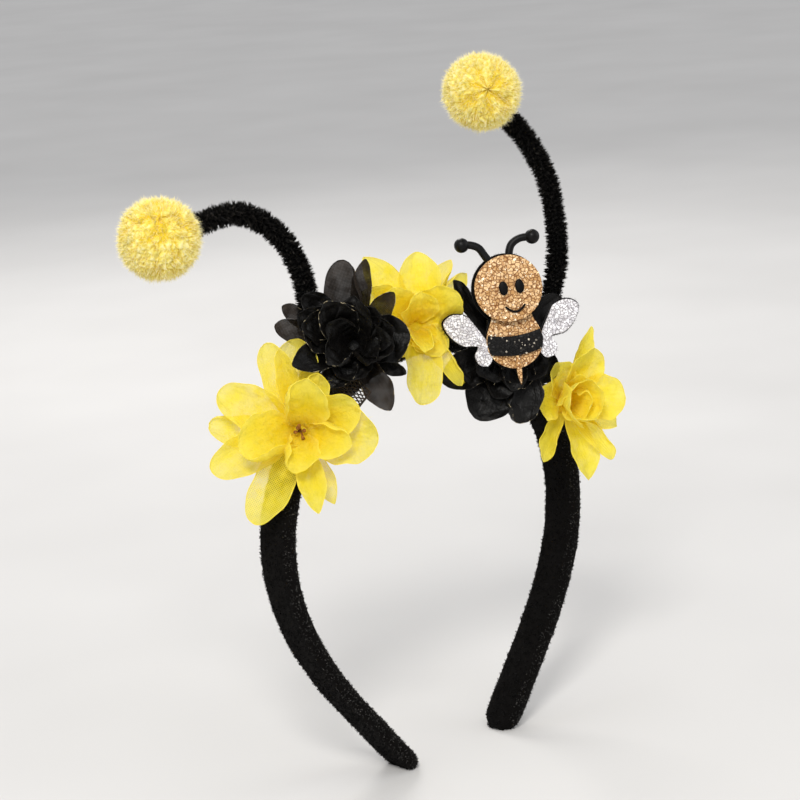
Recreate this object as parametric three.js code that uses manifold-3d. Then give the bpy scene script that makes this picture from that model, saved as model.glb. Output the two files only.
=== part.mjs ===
// A bee headband: a velvet covered band with two pompom antennae, five fabric flowers and a glitter bee.
// Sizes are in millimetres and angles in degrees. +Z is up, and the wearer's face looks along -Y.
import * as THREE from "three";
import { mergeVertices } from "three/addons/utils/BufferGeometryUtils.js";
import Module from "manifold-3d";

const wasm = await Module();
wasm.setup();

// Space kept between neighbouring pieces.
const GAP = 0.4;

// Edges shorter than these are drawn together once a piece is cut.
const SHORT_EDGE = 0.35;
const SHORT_POMPOM_EDGE = 1.1;

// Band: one arch from foot to foot, widest well above the feet.
const BAND_HALF_SPAN = 68.3;
const BAND_FOOT_HALF_SPAN = 23;
const BAND_WIDEST_HEIGHT = 86;
const BAND_ARCH_RISE = 64;
const BAND_WIDTH = 16;
const BAND_THICKNESS = 5.4;
const BAND_LEAN = 4;
const BAND_BACK = 1;
const BAND_STATIONS = 34;
const ARCH_STEP = 15;

// Each foot is rounded off: the height at which it starts to narrow, and the share of the width left at the floor.
const FOOT_TIP_HEIGHT = 6;
const FOOT_TIP_SHARE = 0.4;
const FOOT_TIP_STATIONS = [0.0142, 0.0172, 0.0205, 0.0245];

// Course of a leg: share of the widest height, and share of the way from the foot's span to the widest span.
const LEG_LINE = [
  { up: -0.05, out: -0.08 },
  { up: 0.1, out: 0.14 },
  { up: 0.21, out: 0.3 },
  { up: 0.32, out: 0.46 },
  { up: 0.43, out: 0.61 },
  { up: 0.55, out: 0.75 },
  { up: 0.68, out: 0.87 },
  { up: 0.84, out: 0.965 },
];

// Antenna stems: a bent chenille stem each, from the band's outer face to the pompom.
const STEM_DIAMETER = 8.4;
const STEM_SIDES = 8;
const STEM_STEPS = 18;
const LEFT_STEM_LINE = [
  { x: -43, y: 15, z: 139 },
  { x: -41, y: 15, z: 158 },
  { x: -42, y: 14, z: 178 },
  { x: -47, y: 13, z: 191 },
  { x: -58, y: 11, z: 203 },
  { x: -73, y: 9, z: 210 },
  { x: -92, y: 8, z: 208.5 },
];
const RIGHT_STEM_LINE = [
  { x: 52, y: 12, z: 130 },
  { x: 62, y: 8, z: 144 },
  { x: 66, y: 5, z: 158 },
  { x: 67, y: 2, z: 172 },
  { x: 65, y: 0, z: 187 },
  { x: 60, y: -2, z: 202 },
  { x: 49, y: -4, z: 218 },
  { x: 36, y: -6, z: 230 },
];

// Pompoms: a round core with short locks of yarn fused to it.
const POMPOM_DIAMETER = 29;
const POMPOM_CORE_SHARE = 0.9;
const POMPOM_LOCKS = 42;
const POMPOM_LOCK_WIDTH = 6.4;
const POMPOMS = [
  { name: "pompom_left", x: -105.5, y: 7, z: 207 },
  { name: "pompom_right", x: 25, y: -8, z: 238.5 },
];

// Flowers: cut petals in layers, fused at a heart that reaches back to the band.
// facing is the turn of the flower about Z, 0 when it looks along -Y, and rise its tilt upwards.
const PETAL_THICKNESS = 1;
const PETAL_ROOT_SHARE = 0.34;
const PETAL_START = 3;
const PETAL_LAYER_RISE = 0.05;
const PETAL_CUP = 0.16;
const PETAL_ROWS = [0, 0.3, 0.6, 0.86, 1];
const PETAL_LANES = 2;
const HEART_RADIUS = 4.6;

// Petals: turn round the heart, length, width, and lift off the flower's plane at the root and at the tip.
const FLOWERS = [
  {
    name: "flower_black_left",
    heart: { x: -31.5, y: 3, z: 157.4 },
    facing: -40,
    rise: 20,
    reach: 17,
    petals: [
      { turn: 95, length: 27, width: 12, root: 25, tip: 10 },
      { turn: 78, length: 27, width: 7, root: 20, tip: 10 },
      { turn: 48, length: 20, width: 8, root: 20, tip: 10 },
      { turn: 3, length: 18, width: 17, root: 30, tip: 15 },
      { turn: 326, length: 18, width: 7, root: 15, tip: 5 },
      { turn: 295, length: 23, width: 10, root: 15, tip: 0 },
      { turn: 163, length: 25, width: 11, root: 15, tip: 5 },
      { turn: 147, length: 25, width: 9, root: 5, tip: 0 },
      { turn: 133, length: 23, width: 12, root: 30, tip: 20 },
      { turn: 188, length: 25, width: 8, root: 35, tip: 35 },
      { turn: 159, length: 22, width: 15, root: 45, tip: 40 },
      { turn: 119, length: 19, width: 15, root: 50, tip: 45 },
      { turn: 49, length: 17, width: 14, root: 50, tip: 45 },
      { turn: 343, length: 17, width: 14, root: 50, tip: 40 },
      { turn: 261, length: 14, width: 14, root: 40, tip: 25 },
    ],
  },
  {
    name: "flower_yellow_left",
    heart: { x: -58.2, y: 2, z: 133.1 },
    facing: -40,
    rise: 16,
    reach: 12,
    petals: [
      { turn: 151, length: 28, width: 15, root: 20, tip: 0 },
      { turn: 173, length: 28, width: 13, root: 10, tip: -5 },
      { turn: 200, length: 30, width: 14, root: 15, tip: 0 },
      { turn: 239, length: 32, width: 14, root: 8, tip: -4 },
      { turn: 279, length: 27, width: 9.5, root: 25, tip: 10 },
      { turn: 291, length: 24, width: 8, root: 5, tip: -5 },
      { turn: 346, length: 24, width: 18, root: 30, tip: 10 },
      { turn: 23, length: 20, width: 15, root: 35, tip: 25 },
      { turn: 108, length: 29, width: 12, root: 8, tip: 0 },
      { turn: 90, length: 28, width: 15, root: 5, tip: -5 },
      { turn: 66, length: 18, width: 12, root: 20, tip: 15 },
      { turn: 191, length: 20, width: 17, root: 50, tip: 20 },
      { turn: 74, length: 21, width: 14, root: 55, tip: 45 },
      { turn: 343, length: 18, width: 11, root: 50, tip: 35 },
      { turn: 261, length: 15, width: 12, root: 55, tip: 30 },
    ],
  },
  {
    name: "flower_yellow_middle",
    heart: { x: 0, y: 8, z: 157 },
    facing: -20,
    rise: 18,
    reach: 8,
    petals: [
      { turn: 123, length: 29, width: 12, root: 18, tip: 15 },
      { turn: 83, length: 24, width: 15, root: 25, tip: 10 },
      { turn: 51, length: 25, width: 9, root: 8, tip: 0 },
      { turn: 35, length: 26, width: 9, root: 0, tip: -5 },
      { turn: 21, length: 16, width: 15, root: 30, tip: 15 },
      { turn: 288, length: 15, width: 14, root: 60, tip: 20 },
      { turn: 257, length: 30, width: 14, root: 55, tip: -15 },
      { turn: 295, length: 26, width: 9, root: 50, tip: -20 },
      { turn: 150, length: 24, width: 16, root: 25, tip: 20 },
      { turn: 90, length: 14, width: 14, root: 55, tip: 50 },
      { turn: 251, length: 17, width: 12, root: 60, tip: 55 },
      { turn: 201, length: 17, width: 14, root: 25, tip: 20 },
    ],
  },
  {
    name: "flower_black_right",
    heart: { x: 32.1, y: -3.5, z: 143.3 },
    facing: -24,
    rise: 14,
    reach: 14,
    petals: [
      { turn: 122, length: 30, width: 9, root: 20, tip: 5 },
      { turn: 195, length: 25, width: 14, root: 20, tip: 10 },
      { turn: 235, length: 25, width: 18, root: 20, tip: 5 },
      { turn: 276, length: 23.5, width: 18, root: 15, tip: 0 },
      { turn: 331, length: 18, width: 13, root: 5, tip: -5 },
      { turn: 36, length: 26, width: 12, root: 5, tip: 0 },
      { turn: 84, length: 17, width: 16, root: 15, tip: 10 },
      { turn: 206, length: 17, width: 13, root: 40, tip: 30 },
      { turn: 288, length: 13, width: 12, root: 30, tip: 25 },
    ],
  },
  {
    name: "flower_yellow_right",
    heart: { x: 54.5, y: -9, z: 121.3 },
    facing: -8,
    rise: 8,
    reach: 17,
    petals: [
      { turn: 64, length: 26, width: 8, root: 20, tip: 10 },
      { turn: 66, length: 21, width: 14, root: 38, tip: 28 },
      { turn: 357, length: 20, width: 17, root: 40, tip: 20 },
      { turn: 324, length: 20, width: 8, root: 30, tip: 10 },
      { turn: 298, length: 26, width: 9.5, root: 30, tip: 10 },
      { turn: 277, length: 30, width: 11, root: 20, tip: 0 },
      { turn: 237, length: 21, width: 10, root: 10, tip: -5 },
      { turn: 169, length: 12, width: 15, root: 25, tip: 10 },
      { turn: 118, length: 18, width: 13, root: 35, tip: 30 },
      { turn: 20, length: 13, width: 12, root: 60, tip: 66 },
      { turn: 105, length: 14, width: 13, root: 58, tip: 68 },
      { turn: 190, length: 14, width: 14, root: 58, tip: 70 },
      { turn: 280, length: 14, width: 13, root: 58, tip: 64 },
    ],
  },
];

// Stamens: short brown threads in the heart of the left yellow flower.
const STAMEN_COUNT = 5;
const STAMEN_LENGTH = 4.5;
const STAMEN_DIAMETER = 1;
const STAMEN_SPREAD = 38;
const STAMEN_LIFT = 8;

// Net petal under the left black flower: a pointed fan of net with its gaps cut through.
const NET_ROOT = { x: -38.8, y: 0.5, z: 150.4 };
const NET_LENGTH = 16;
const NET_ANGLE = 74;
const NET_TURN = 262;
const NET_THICKNESS = 0.8;
const NET_ROWS = 6;
const NET_GAP_SHARE = 0.56;

// Bee: flat cut-outs in a stack that faces the front left. Their outlines have the head's centre as origin.
const BEE_HEAD_CENTRE = { x: 28, y: -11.5, z: 168.2 };
const BEE_FACING = -34;
const BEE_RISE = 13;
const BEE_ROLL = 3;
const BEE_BACKING_MARGIN = 0.5;
const PLATE_THICKNESS = 1.3;
const HEAD_RADIUS = 12.1;
const STRIPE_TOP = 15.6;
const STRIPE_BOTTOM = 22.6;
const STRIPE_SAG = 1.3;

// Half of the bee's body from the neck down: how far below the head's centre, and half its width there.
const BODY_LINE = [
  { down: 9, half: 6.8 },
  { down: 12, half: 8.0 },
  { down: 15, half: 9.4 },
  { down: 18.5, half: 10.2 },
  { down: 22, half: 9.6 },
  { down: 25, half: 7.7 },
  { down: 27.3, half: 4.6 },
  { down: 28.4, half: 1.4 },
];

// Outline of a pair of wings on one side, out from the middle line and down from the head's centre.
const WING_LINE = [
  { out: 9.8, down: 13.6 },
  { out: 15.1, down: 8.3 },
  { out: 20.3, down: 6.6 },
  { out: 24.3, down: 9.0 },
  { out: 22.8, down: 13.8 },
  { out: 18.5, down: 17.9 },
  { out: 13.4, down: 18.9 },
  { out: 14.8, down: 22.1 },
  { out: 13.5, down: 25.5 },
  { out: 10.4, down: 26.0 },
  { out: 8.6, down: 23.3 },
  { out: 9.2, down: 18.1 },
];

const EYE_WIDTH = 3.2;
const EYE_HEIGHT = 5;
const EYE_SPACING = 5.8;
const FACE_SHIFT = 1;
const SMILE_WIDTH = 7.1;
const SMILE_DROP = 2.2;
const SMILE_BELOW = 6.3;
const SMILE_STROKE = 0.8;
const STINGER_TOP = 24;
const STINGER_TIP = 34.3;
const STINGER_WIDTH = 2;
const FEELER_DIAMETER = 2.8;
const FEELER_BALL_DIAMETER = 5.3;
const FEELERS = [
  {
    name: "bee_feeler_left",
    line: [
      { x: -4.6, y: 9.4 },
      { x: -6.4, y: 12.6 },
      { x: -8.2, y: 15.6 },
      { x: -11, y: 17 },
      { x: -14, y: 17.3 },
    ],
  },
  {
    name: "bee_feeler_right",
    line: [
      { x: 2.0, y: 10 },
      { x: 2.6, y: 13.2 },
      { x: 3.8, y: 15.4 },
      { x: 6.8, y: 17 },
      { x: 11.4, y: 17 },
    ],
  },
];

const UP = new THREE.Vector3(0, 0, 1);

function radians(angle) {
  return THREE.MathUtils.degToRad(angle);
}

function point(row) {
  return new THREE.Vector3(row.x, row.y, row.z);
}

// A closed solid from vertices and triangles, turned outwards if its faces point in.
function solidOf(positions, triangles) {
  const make = (list) =>
    new wasm.Manifold(
      new wasm.Mesh({
        numProp: 3,
        vertProperties: new Float32Array(positions),
        triVerts: new Uint32Array(list),
      }),
    );
  const solid = make(triangles);
  if (solid.volume() > 0) return solid;
  const turned = [];
  for (let i = 0; i < triangles.length; i += 3) {
    turned.push(triangles[i], triangles[i + 2], triangles[i + 1]);
  }
  return make(turned);
}

function solidOfGeometry(geometry, matrix = new THREE.Matrix4()) {
  const bare = new THREE.BufferGeometry();
  bare.setAttribute("position", geometry.getAttribute("position").clone());
  if (geometry.index) bare.setIndex(geometry.index.clone());
  bare.applyMatrix4(matrix);
  const merged = mergeVertices(bare, 1e-3);
  return solidOf(merged.getAttribute("position").array, merged.index.array);
}

// Draws together corners that a cut has left close, where the surface stays closed and no face turns over.
function withoutShortEdges(body, shortest) {
  const corners = [];
  for (let i = 0; i < body.numVert; i += 1) {
    corners.push(new THREE.Vector3().fromArray(body.vertProperties, i * body.numProp));
  }
  const faces = [];
  const facesAt = corners.map(() => new Set());
  for (let i = 0; i < body.triVerts.length; i += 3) {
    const face = Array.from(body.triVerts.slice(i, i + 3));
    for (const corner of face) facesAt[corner].add(faces.length);
    faces.push(face);
  }
  const ringOf = (corner) => {
    const ring = new Set();
    for (const index of facesAt[corner]) faces[index].forEach((other) => ring.add(other));
    ring.delete(corner);
    return ring;
  };
  const normalOf = (face, swapped, place) => {
    const [a, b, c] = face.map((corner) => (swapped.includes(corner) ? place : corners[corner]));
    return new THREE.Vector3().crossVectors(b.clone().sub(a), c.clone().sub(a));
  };
  const turnsOver = (kept, dropped, place) =>
    [...facesAt[kept], ...facesAt[dropped]].some((index) => {
      const face = faces[index];
      if (face.includes(kept) && face.includes(dropped)) return false;
      const before = normalOf(face, [], place);
      return before.lengthSq() > 1e-10 && before.dot(normalOf(face, [kept, dropped], place)) <= 0;
    });
  const drawTogether = (kept, dropped) => {
    if (corners[kept].distanceTo(corners[dropped]) >= shortest) return false;
    const shared = [...ringOf(kept)].filter((corner) => ringOf(dropped).has(corner));
    if (shared.length !== 2) return false;
    const place = corners[kept].clone().add(corners[dropped]).multiplyScalar(0.5);
    if (turnsOver(kept, dropped, place)) return false;
    corners[kept].copy(place);
    for (const index of [...facesAt[dropped]]) {
      const face = faces[index];
      if (face.includes(kept)) {
        face.forEach((corner) => facesAt[corner].delete(index));
        faces[index] = null;
      } else {
        face[face.indexOf(dropped)] = kept;
        facesAt[kept].add(index);
      }
    }
    facesAt[dropped].clear();
    return true;
  };
  for (let changed = true; changed; ) {
    changed = false;
    for (let index = 0; index < faces.length; index += 1) {
      for (let side = 0; side < 3 && faces[index]; side += 1) {
        changed = drawTogether(faces[index][side], faces[index][(side + 1) % 3]) || changed;
      }
    }
  }
  const geometry = new THREE.BufferGeometry();
  const positions = corners.flatMap((corner) => corner.toArray());
  geometry.setAttribute("position", new THREE.Float32BufferAttribute(positions, 3));
  geometry.setIndex(faces.filter((face) => face).flat());
  return geometry;
}

function meshOf(solid, name, colour, shortest) {
  const geometry = withoutShortEdges(solid.getMesh(), shortest);
  const mesh = new THREE.Mesh(geometry, new THREE.MeshStandardMaterial({ color: colour }));
  mesh.name = name;
  return mesh;
}

// The largest body of a solid that a cut has left in more than one.
function mainBody(solid) {
  const bodies = solid.decompose();
  bodies.sort((a, b) => b.volume() - a.volume());
  return bodies[0];
}

// A solid through equal rings of points, closed by a fan at each end.
function loft(rings) {
  const count = rings[0].length;
  const positions = [];
  const triangles = [];
  for (const ring of rings) {
    for (const p of ring) positions.push(p.x, p.y, p.z);
  }
  for (let row = 0; row + 1 < rings.length; row += 1) {
    for (let i = 0; i < count; i += 1) {
      const next = (i + 1) % count;
      const a = row * count + i;
      const b = row * count + next;
      triangles.push(a, b, b + count, a, b + count, a + count);
    }
  }
  const closeEnd = (ring, base, outward) => {
    const middle = ring.reduce((sum, p) => sum.add(p), new THREE.Vector3()).divideScalar(count);
    const centre = positions.length / 3;
    positions.push(middle.x, middle.y, middle.z);
    for (let i = 0; i < count; i += 1) {
      const next = (i + 1) % count;
      if (outward) triangles.push(centre, base + i, base + next);
      else triangles.push(centre, base + next, base + i);
    }
  };
  closeEnd(rings[0], 0, false);
  closeEnd(rings[rings.length - 1], (rings.length - 1) * count, true);
  return solidOf(positions, triangles);
}

// Corner points of a rounded rectangle, three to a corner.
function roundedSection(width, thickness) {
  const radius = Math.min(width, thickness) * 0.42;
  const points = [];
  for (const corner of [0, 90, 180, 270]) {
    const sideX = corner === 0 || corner === 270 ? 1 : -1;
    const sideY = corner < 180 ? 1 : -1;
    for (const angle of [corner + 8, corner + 45, corner + 82]) {
      points.push({
        across: sideX * (width / 2 - radius) + radius * Math.cos(radians(angle)),
        out: sideY * (thickness / 2 - radius) + radius * Math.sin(radians(angle)),
      });
    }
  }
  return points;
}

// The band's centre line, from the left foot over the top to the right foot.
function bandCurve() {
  const slope = Math.tan(radians(BAND_LEAN));
  const leaning = (x, z) => new THREE.Vector3(x, BAND_BACK + z * slope, z);
  const leg = LEG_LINE.map((row) => ({
    x: THREE.MathUtils.lerp(BAND_FOOT_HALF_SPAN, BAND_HALF_SPAN, row.out),
    z: BAND_WIDEST_HEIGHT * row.up,
  }));
  const points = leg.map((row) => leaning(-row.x, row.z));
  for (let angle = -90; angle <= 90; angle += ARCH_STEP) {
    const x = BAND_HALF_SPAN * Math.sin(radians(angle));
    points.push(leaning(x, BAND_WIDEST_HEIGHT + BAND_ARCH_RISE * Math.cos(radians(angle))));
  }
  for (const row of leg.reverse()) points.push(leaning(row.x, row.z));
  return new THREE.CatmullRomCurve3(points, false, "centripetal");
}

function bandSolid(grow = 0) {
  const curve = bandCurve();
  const across = new THREE.Vector3(0, 1, -Math.tan(radians(BAND_LEAN))).normalize();
  const stations = FOOT_TIP_STATIONS.flatMap((share) => [share, 1 - share]);
  for (let i = 0; i <= BAND_STATIONS; i += 1) stations.push(i / BAND_STATIONS);
  const rings = [];
  for (const station of stations.sort((a, b) => a - b)) {
    const centre = curve.getPointAt(station);
    const along = curve.getTangentAt(station);
    const out = new THREE.Vector3().crossVectors(along, across).normalize();
    const rise = THREE.MathUtils.clamp(centre.z / FOOT_TIP_HEIGHT, 0, 1);
    const share = THREE.MathUtils.lerp(FOOT_TIP_SHARE, 1, Math.sqrt(1 - (1 - rise) ** 2));
    const width = BAND_WIDTH * share + 2 * grow;
    rings.push(
      roundedSection(width, BAND_THICKNESS + 2 * grow).map((corner) =>
        centre.clone().addScaledVector(across, corner.across).addScaledVector(out, corner.out),
      ),
    );
  }
  const floor = new THREE.BoxGeometry(4 * BAND_HALF_SPAN, 8 * BAND_WIDTH, BAND_WIDTH);
  floor.translate(0, 0, -BAND_WIDTH / 2);
  return loft(rings).subtract(solidOfGeometry(floor));
}

function stemSolid(line, grow = 0) {
  const circle = new THREE.Shape();
  circle.absarc(0, 0, STEM_DIAMETER / 2 + grow, 0, 2 * Math.PI);
  const geometry = new THREE.ExtrudeGeometry(circle, {
    curveSegments: STEM_SIDES / 2,
    steps: STEM_STEPS,
    extrudePath: new THREE.CatmullRomCurve3(line.map(point)),
  });
  return solidOfGeometry(geometry);
}

// Directions spread evenly over a sphere.
function spreadDirections(count) {
  const golden = Math.PI * (3 - Math.sqrt(5));
  const directions = [];
  for (let i = 0; i < count; i += 1) {
    const z = 1 - (2 * i + 1) / count;
    const flat = Math.sqrt(1 - z * z);
    directions.push(new THREE.Vector3(flat * Math.cos(golden * i), flat * Math.sin(golden * i), z));
  }
  return directions;
}

function pompomSolid(row, grow = 0) {
  const radius = POMPOM_DIAMETER / 2 + grow;
  const core = radius * POMPOM_CORE_SHARE;
  const parts = [solidOfGeometry(new THREE.IcosahedronGeometry(core, 1))];
  spreadDirections(POMPOM_LOCKS).forEach((direction, i) => {
    const reach = radius - (i % 3) * 0.035 * radius;
    const length = reach - core * 0.7;
    const lock = new THREE.CylinderGeometry(POMPOM_LOCK_WIDTH * 0.3, POMPOM_LOCK_WIDTH / 2, length, 4);
    lock.translate(0, length / 2 + core * 0.7, 0);
    const turn = new THREE.Quaternion().setFromUnitVectors(new THREE.Vector3(0, 1, 0), direction);
    parts.push(solidOfGeometry(lock, new THREE.Matrix4().makeRotationFromQuaternion(turn)));
  });
  return wasm.Manifold.union(parts).translate([row.x, row.y, row.z]);
}

// Axes of a thing that faces a direction: right and up as seen from its front, and the facing itself.
function facingAxes(facing, rise, roll = 0) {
  const front = new THREE.Vector3(
    Math.sin(radians(facing)) * Math.cos(radians(rise)),
    -Math.cos(radians(facing)) * Math.cos(radians(rise)),
    Math.sin(radians(rise)),
  );
  const right = new THREE.Vector3().crossVectors(UP, front).normalize();
  const up = new THREE.Vector3().crossVectors(front, right).normalize();
  right.applyAxisAngle(front, radians(roll));
  up.applyAxisAngle(front, radians(roll));
  return { right, up, front };
}

// Half width of a petal along its length, as a share of its widest half.
function petalShare(s) {
  if (s < 0.6) return THREE.MathUtils.lerp(PETAL_ROOT_SHARE, 1, Math.sin((s / 0.6) * (Math.PI / 2)));
  return Math.sqrt(Math.max(0, 1 - ((s - 0.6) / 0.42) ** 2));
}

// A curved petal with the thickness of its cloth, as two sheets of points joined round the edge.
function petalSolid(flower, petal, grow = 0) {
  const axes = facingAxes(flower.facing, flower.rise);
  const outward = axes.right
    .clone()
    .multiplyScalar(Math.cos(radians(petal.turn)))
    .addScaledVector(axes.up, Math.sin(radians(petal.turn)));
  const side = new THREE.Vector3().crossVectors(axes.front, outward);
  const half = PETAL_THICKNESS / 2 + grow;
  const length = petal.length + grow;
  const spine = point(flower.heart);
  spine.addScaledVector(outward, PETAL_START * Math.cos(radians(petal.root)));
  spine.addScaledVector(axes.front, petal.root * PETAL_LAYER_RISE);
  const columns = PETAL_LANES + 1;
  const sheets = [[], []];
  let last = 0;
  for (const s of PETAL_ROWS) {
    const bend = radians(THREE.MathUtils.lerp(petal.root, petal.tip, (s + last) / 2));
    spine.addScaledVector(outward, (s - last) * length * Math.cos(bend));
    spine.addScaledVector(axes.front, (s - last) * length * Math.sin(bend));
    last = s;
    const lift = radians(THREE.MathUtils.lerp(petal.root, petal.tip, s));
    const along = outward.clone().multiplyScalar(Math.cos(lift)).addScaledVector(axes.front, Math.sin(lift));
    const normal = new THREE.Vector3().crossVectors(along, side).normalize();
    const reach = (petal.width / 2 + grow) * petalShare(s);
    for (let column = 0; column < columns; column += 1) {
      const t = (2 * column) / PETAL_LANES - 1;
      const middle = spine.clone().addScaledVector(side, t * reach);
      middle.addScaledVector(normal, PETAL_CUP * petal.width * petalShare(s) * t * t);
      sheets[0].push(middle.clone().addScaledVector(normal, half));
      sheets[1].push(middle.clone().addScaledVector(normal, -half));
    }
  }
  const rings = PETAL_ROWS.map((_, row) => {
    const cut = (sheet) => sheet.slice(row * columns, (row + 1) * columns);
    return [...cut(sheets[0]), ...cut(sheets[1]).reverse()];
  });
  return loft(rings);
}

// The heart is a short tapered plug from the petals' roots back towards the band.
function heartSolid(flower, grow = 0) {
  const axes = facingAxes(flower.facing, flower.rise);
  const plug = new THREE.CylinderGeometry(HEART_RADIUS + grow, HEART_RADIUS * 0.8 + grow, flower.reach, 8);
  plug.translate(0, HEART_RADIUS * 0.35 - flower.reach / 2, 0);
  const matrix = new THREE.Matrix4().makeBasis(axes.right, axes.front, axes.up.clone().negate());
  matrix.setPosition(point(flower.heart));
  return solidOfGeometry(plug, matrix);
}

function flowerSolid(flower, grow = 0) {
  const parts = flower.petals.map((petal) => petalSolid(flower, petal, grow));
  parts.push(heartSolid(flower, grow));
  return wasm.Manifold.union(parts);
}

// The bee's own frame: x to its left as it is seen, y up, and z towards the viewer from the backing.
function beeMatrix() {
  const axes = facingAxes(BEE_FACING, BEE_RISE, BEE_ROLL);
  const matrix = new THREE.Matrix4().makeBasis(axes.right, axes.up, axes.front);
  return matrix.setPosition(point(BEE_HEAD_CENTRE));
}

function plateSolid(shape, level, thickness = PLATE_THICKNESS, segments = 10) {
  const geometry = new THREE.ExtrudeGeometry(shape, {
    depth: thickness,
    bevelEnabled: false,
    curveSegments: segments,
  });
  geometry.translate(0, 0, level);
  return solidOfGeometry(geometry, beeMatrix());
}

function ellipseShape(x, y, width, height) {
  const shape = new THREE.Shape();
  shape.absellipse(x, y, width / 2, height / 2, 0, 2 * Math.PI);
  return shape;
}

function closedShape(rows, margin = 0) {
  const middle = rows.reduce((sum, p) => sum.add(p), new THREE.Vector2()).divideScalar(rows.length);
  const grown = rows.map((p) => {
    const away = p.clone().sub(middle);
    return p.clone().addScaledVector(away.clone().normalize(), margin);
  });
  const curve = new THREE.SplineCurve([...grown, grown[0]]);
  return new THREE.Shape(curve.getPoints(rows.length * 2).slice(0, -1));
}

function bodyHalf(down) {
  for (let i = 0; i + 1 < BODY_LINE.length; i += 1) {
    const a = BODY_LINE[i];
    const b = BODY_LINE[i + 1];
    if (down <= b.down) return THREE.MathUtils.mapLinear(down, a.down, b.down, a.half, b.half);
  }
  return BODY_LINE[BODY_LINE.length - 1].half;
}

function bodyShape(margin = 0) {
  const left = BODY_LINE.map((row) => new THREE.Vector2(-row.half - margin, -row.down - margin * 0.4));
  const right = BODY_LINE.map((row) => new THREE.Vector2(row.half + margin, -row.down - margin * 0.4));
  return new THREE.Shape([...left, ...right.reverse()]);
}

function wingShape(side, margin = 0) {
  const rows = WING_LINE.map((row) => new THREE.Vector2(side * row.out, -row.down));
  return closedShape(rows, margin);
}

// The stripe follows the body's sides and sags a little in the middle.
function stripeShape() {
  const steps = 8;
  const edge = (level) => {
    const half = bodyHalf(level) - 0.15;
    const points = [];
    for (let i = 0; i <= steps; i += 1) {
      const t = (2 * i) / steps - 1;
      points.push(new THREE.Vector2(t * half, -level - STRIPE_SAG * (1 - t * t)));
    }
    return points;
  };
  const sides = (from, to, sign) => {
    const points = [];
    for (let i = 1; i < 4; i += 1) {
      const down = THREE.MathUtils.lerp(from, to, i / 4);
      points.push(new THREE.Vector2(sign * (bodyHalf(down) - 0.15), -down));
    }
    return points;
  };
  return new THREE.Shape([
    ...edge(STRIPE_TOP),
    ...sides(STRIPE_TOP, STRIPE_BOTTOM, 1),
    ...edge(STRIPE_BOTTOM).reverse(),
    ...sides(STRIPE_BOTTOM, STRIPE_TOP, -1),
  ]);
}

function smileShape() {
  const steps = 10;
  const line = (shift) => {
    const points = [];
    for (let i = 0; i <= steps; i += 1) {
      const t = (2 * i) / steps - 1;
      const y = -SMILE_BELOW - SMILE_DROP * (1 - t * t) + shift;
      points.push(new THREE.Vector2(FACE_SHIFT * 1.4 + (t * SMILE_WIDTH) / 2, y));
    }
    return points;
  };
  return new THREE.Shape([...line(-SMILE_STROKE / 2), ...line(SMILE_STROKE / 2).reverse()]);
}

function stingerShape() {
  const length = STINGER_TIP - STINGER_TOP;
  const half = STINGER_WIDTH / 2;
  return new THREE.Shape([
    new THREE.Vector2(0, -STINGER_TIP),
    new THREE.Vector2(half * 0.75, -STINGER_TIP + length * 0.3),
    new THREE.Vector2(half, -STINGER_TOP - length * 0.3),
    new THREE.Vector2(half * 0.5, -STINGER_TOP),
    new THREE.Vector2(-half * 0.5, -STINGER_TOP),
    new THREE.Vector2(-half, -STINGER_TOP - length * 0.3),
    new THREE.Vector2(-half * 0.75, -STINGER_TIP + length * 0.3),
  ]);
}

function feelerSolid(feeler) {
  const level = PLATE_THICKNESS + GAP + FEELER_DIAMETER / 2;
  const circle = new THREE.Shape();
  circle.absarc(0, 0, FEELER_DIAMETER / 2, 0, 2 * Math.PI);
  const line = feeler.line.map((row) => new THREE.Vector3(row.x, row.y, level));
  const tube = new THREE.ExtrudeGeometry(circle, {
    curveSegments: 4,
    steps: 8,
    extrudePath: new THREE.CatmullRomCurve3(line),
  });
  const ball = new THREE.IcosahedronGeometry(FEELER_BALL_DIAMETER / 2, 1);
  const end = line[line.length - 1];
  ball.translate(end.x, end.y, end.z);
  return solidOfGeometry(tube, beeMatrix()).add(solidOfGeometry(ball, beeMatrix()));
}

// Net petal: rows of gaps cut through a thin pointed fan that hangs from the flower's back.
function netSolid() {
  const black = FLOWERS[0];
  const axes = facingAxes(black.facing, black.rise);
  const shape = new THREE.Shape();
  const half = radians(NET_ANGLE / 2);
  shape.moveTo(-2, 0);
  shape.lineTo(-NET_LENGTH * 0.72 * Math.tan(half * 0.9), -NET_LENGTH * 0.62);
  shape.lineTo(NET_LENGTH * 0.1, -NET_LENGTH);
  shape.lineTo(NET_LENGTH * 0.72 * Math.tan(half), -NET_LENGTH * 0.5);
  shape.lineTo(2, 0);
  const pitch = NET_LENGTH / (NET_ROWS + 1.5);
  for (let row = 2; row <= NET_ROWS; row += 1) {
    const y = -pitch * (row + 0.2);
    const reach = Math.floor(row * 0.55);
    for (let column = -reach; column <= reach; column += 1) {
      const x = (column + (row % 2) * 0.5) * pitch * 0.95;
      const corner = (pitch * NET_GAP_SHARE) / 2;
      if (!insideFan(x, y, corner * 1.5, half)) continue;
      const gap = new THREE.Path();
      gap.moveTo(x - corner, y);
      gap.lineTo(x, y - corner * 1.25);
      gap.lineTo(x + corner, y);
      gap.lineTo(x, y + corner * 1.25);
      gap.closePath();
      shape.holes.push(gap);
    }
  }
  const geometry = new THREE.ExtrudeGeometry(shape, { depth: NET_THICKNESS, bevelEnabled: false });
  const matrix = new THREE.Matrix4().makeBasis(axes.right, axes.up, axes.front);
  matrix.setPosition(point(NET_ROOT));
  return solidOfGeometry(geometry, matrix);
}

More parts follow.
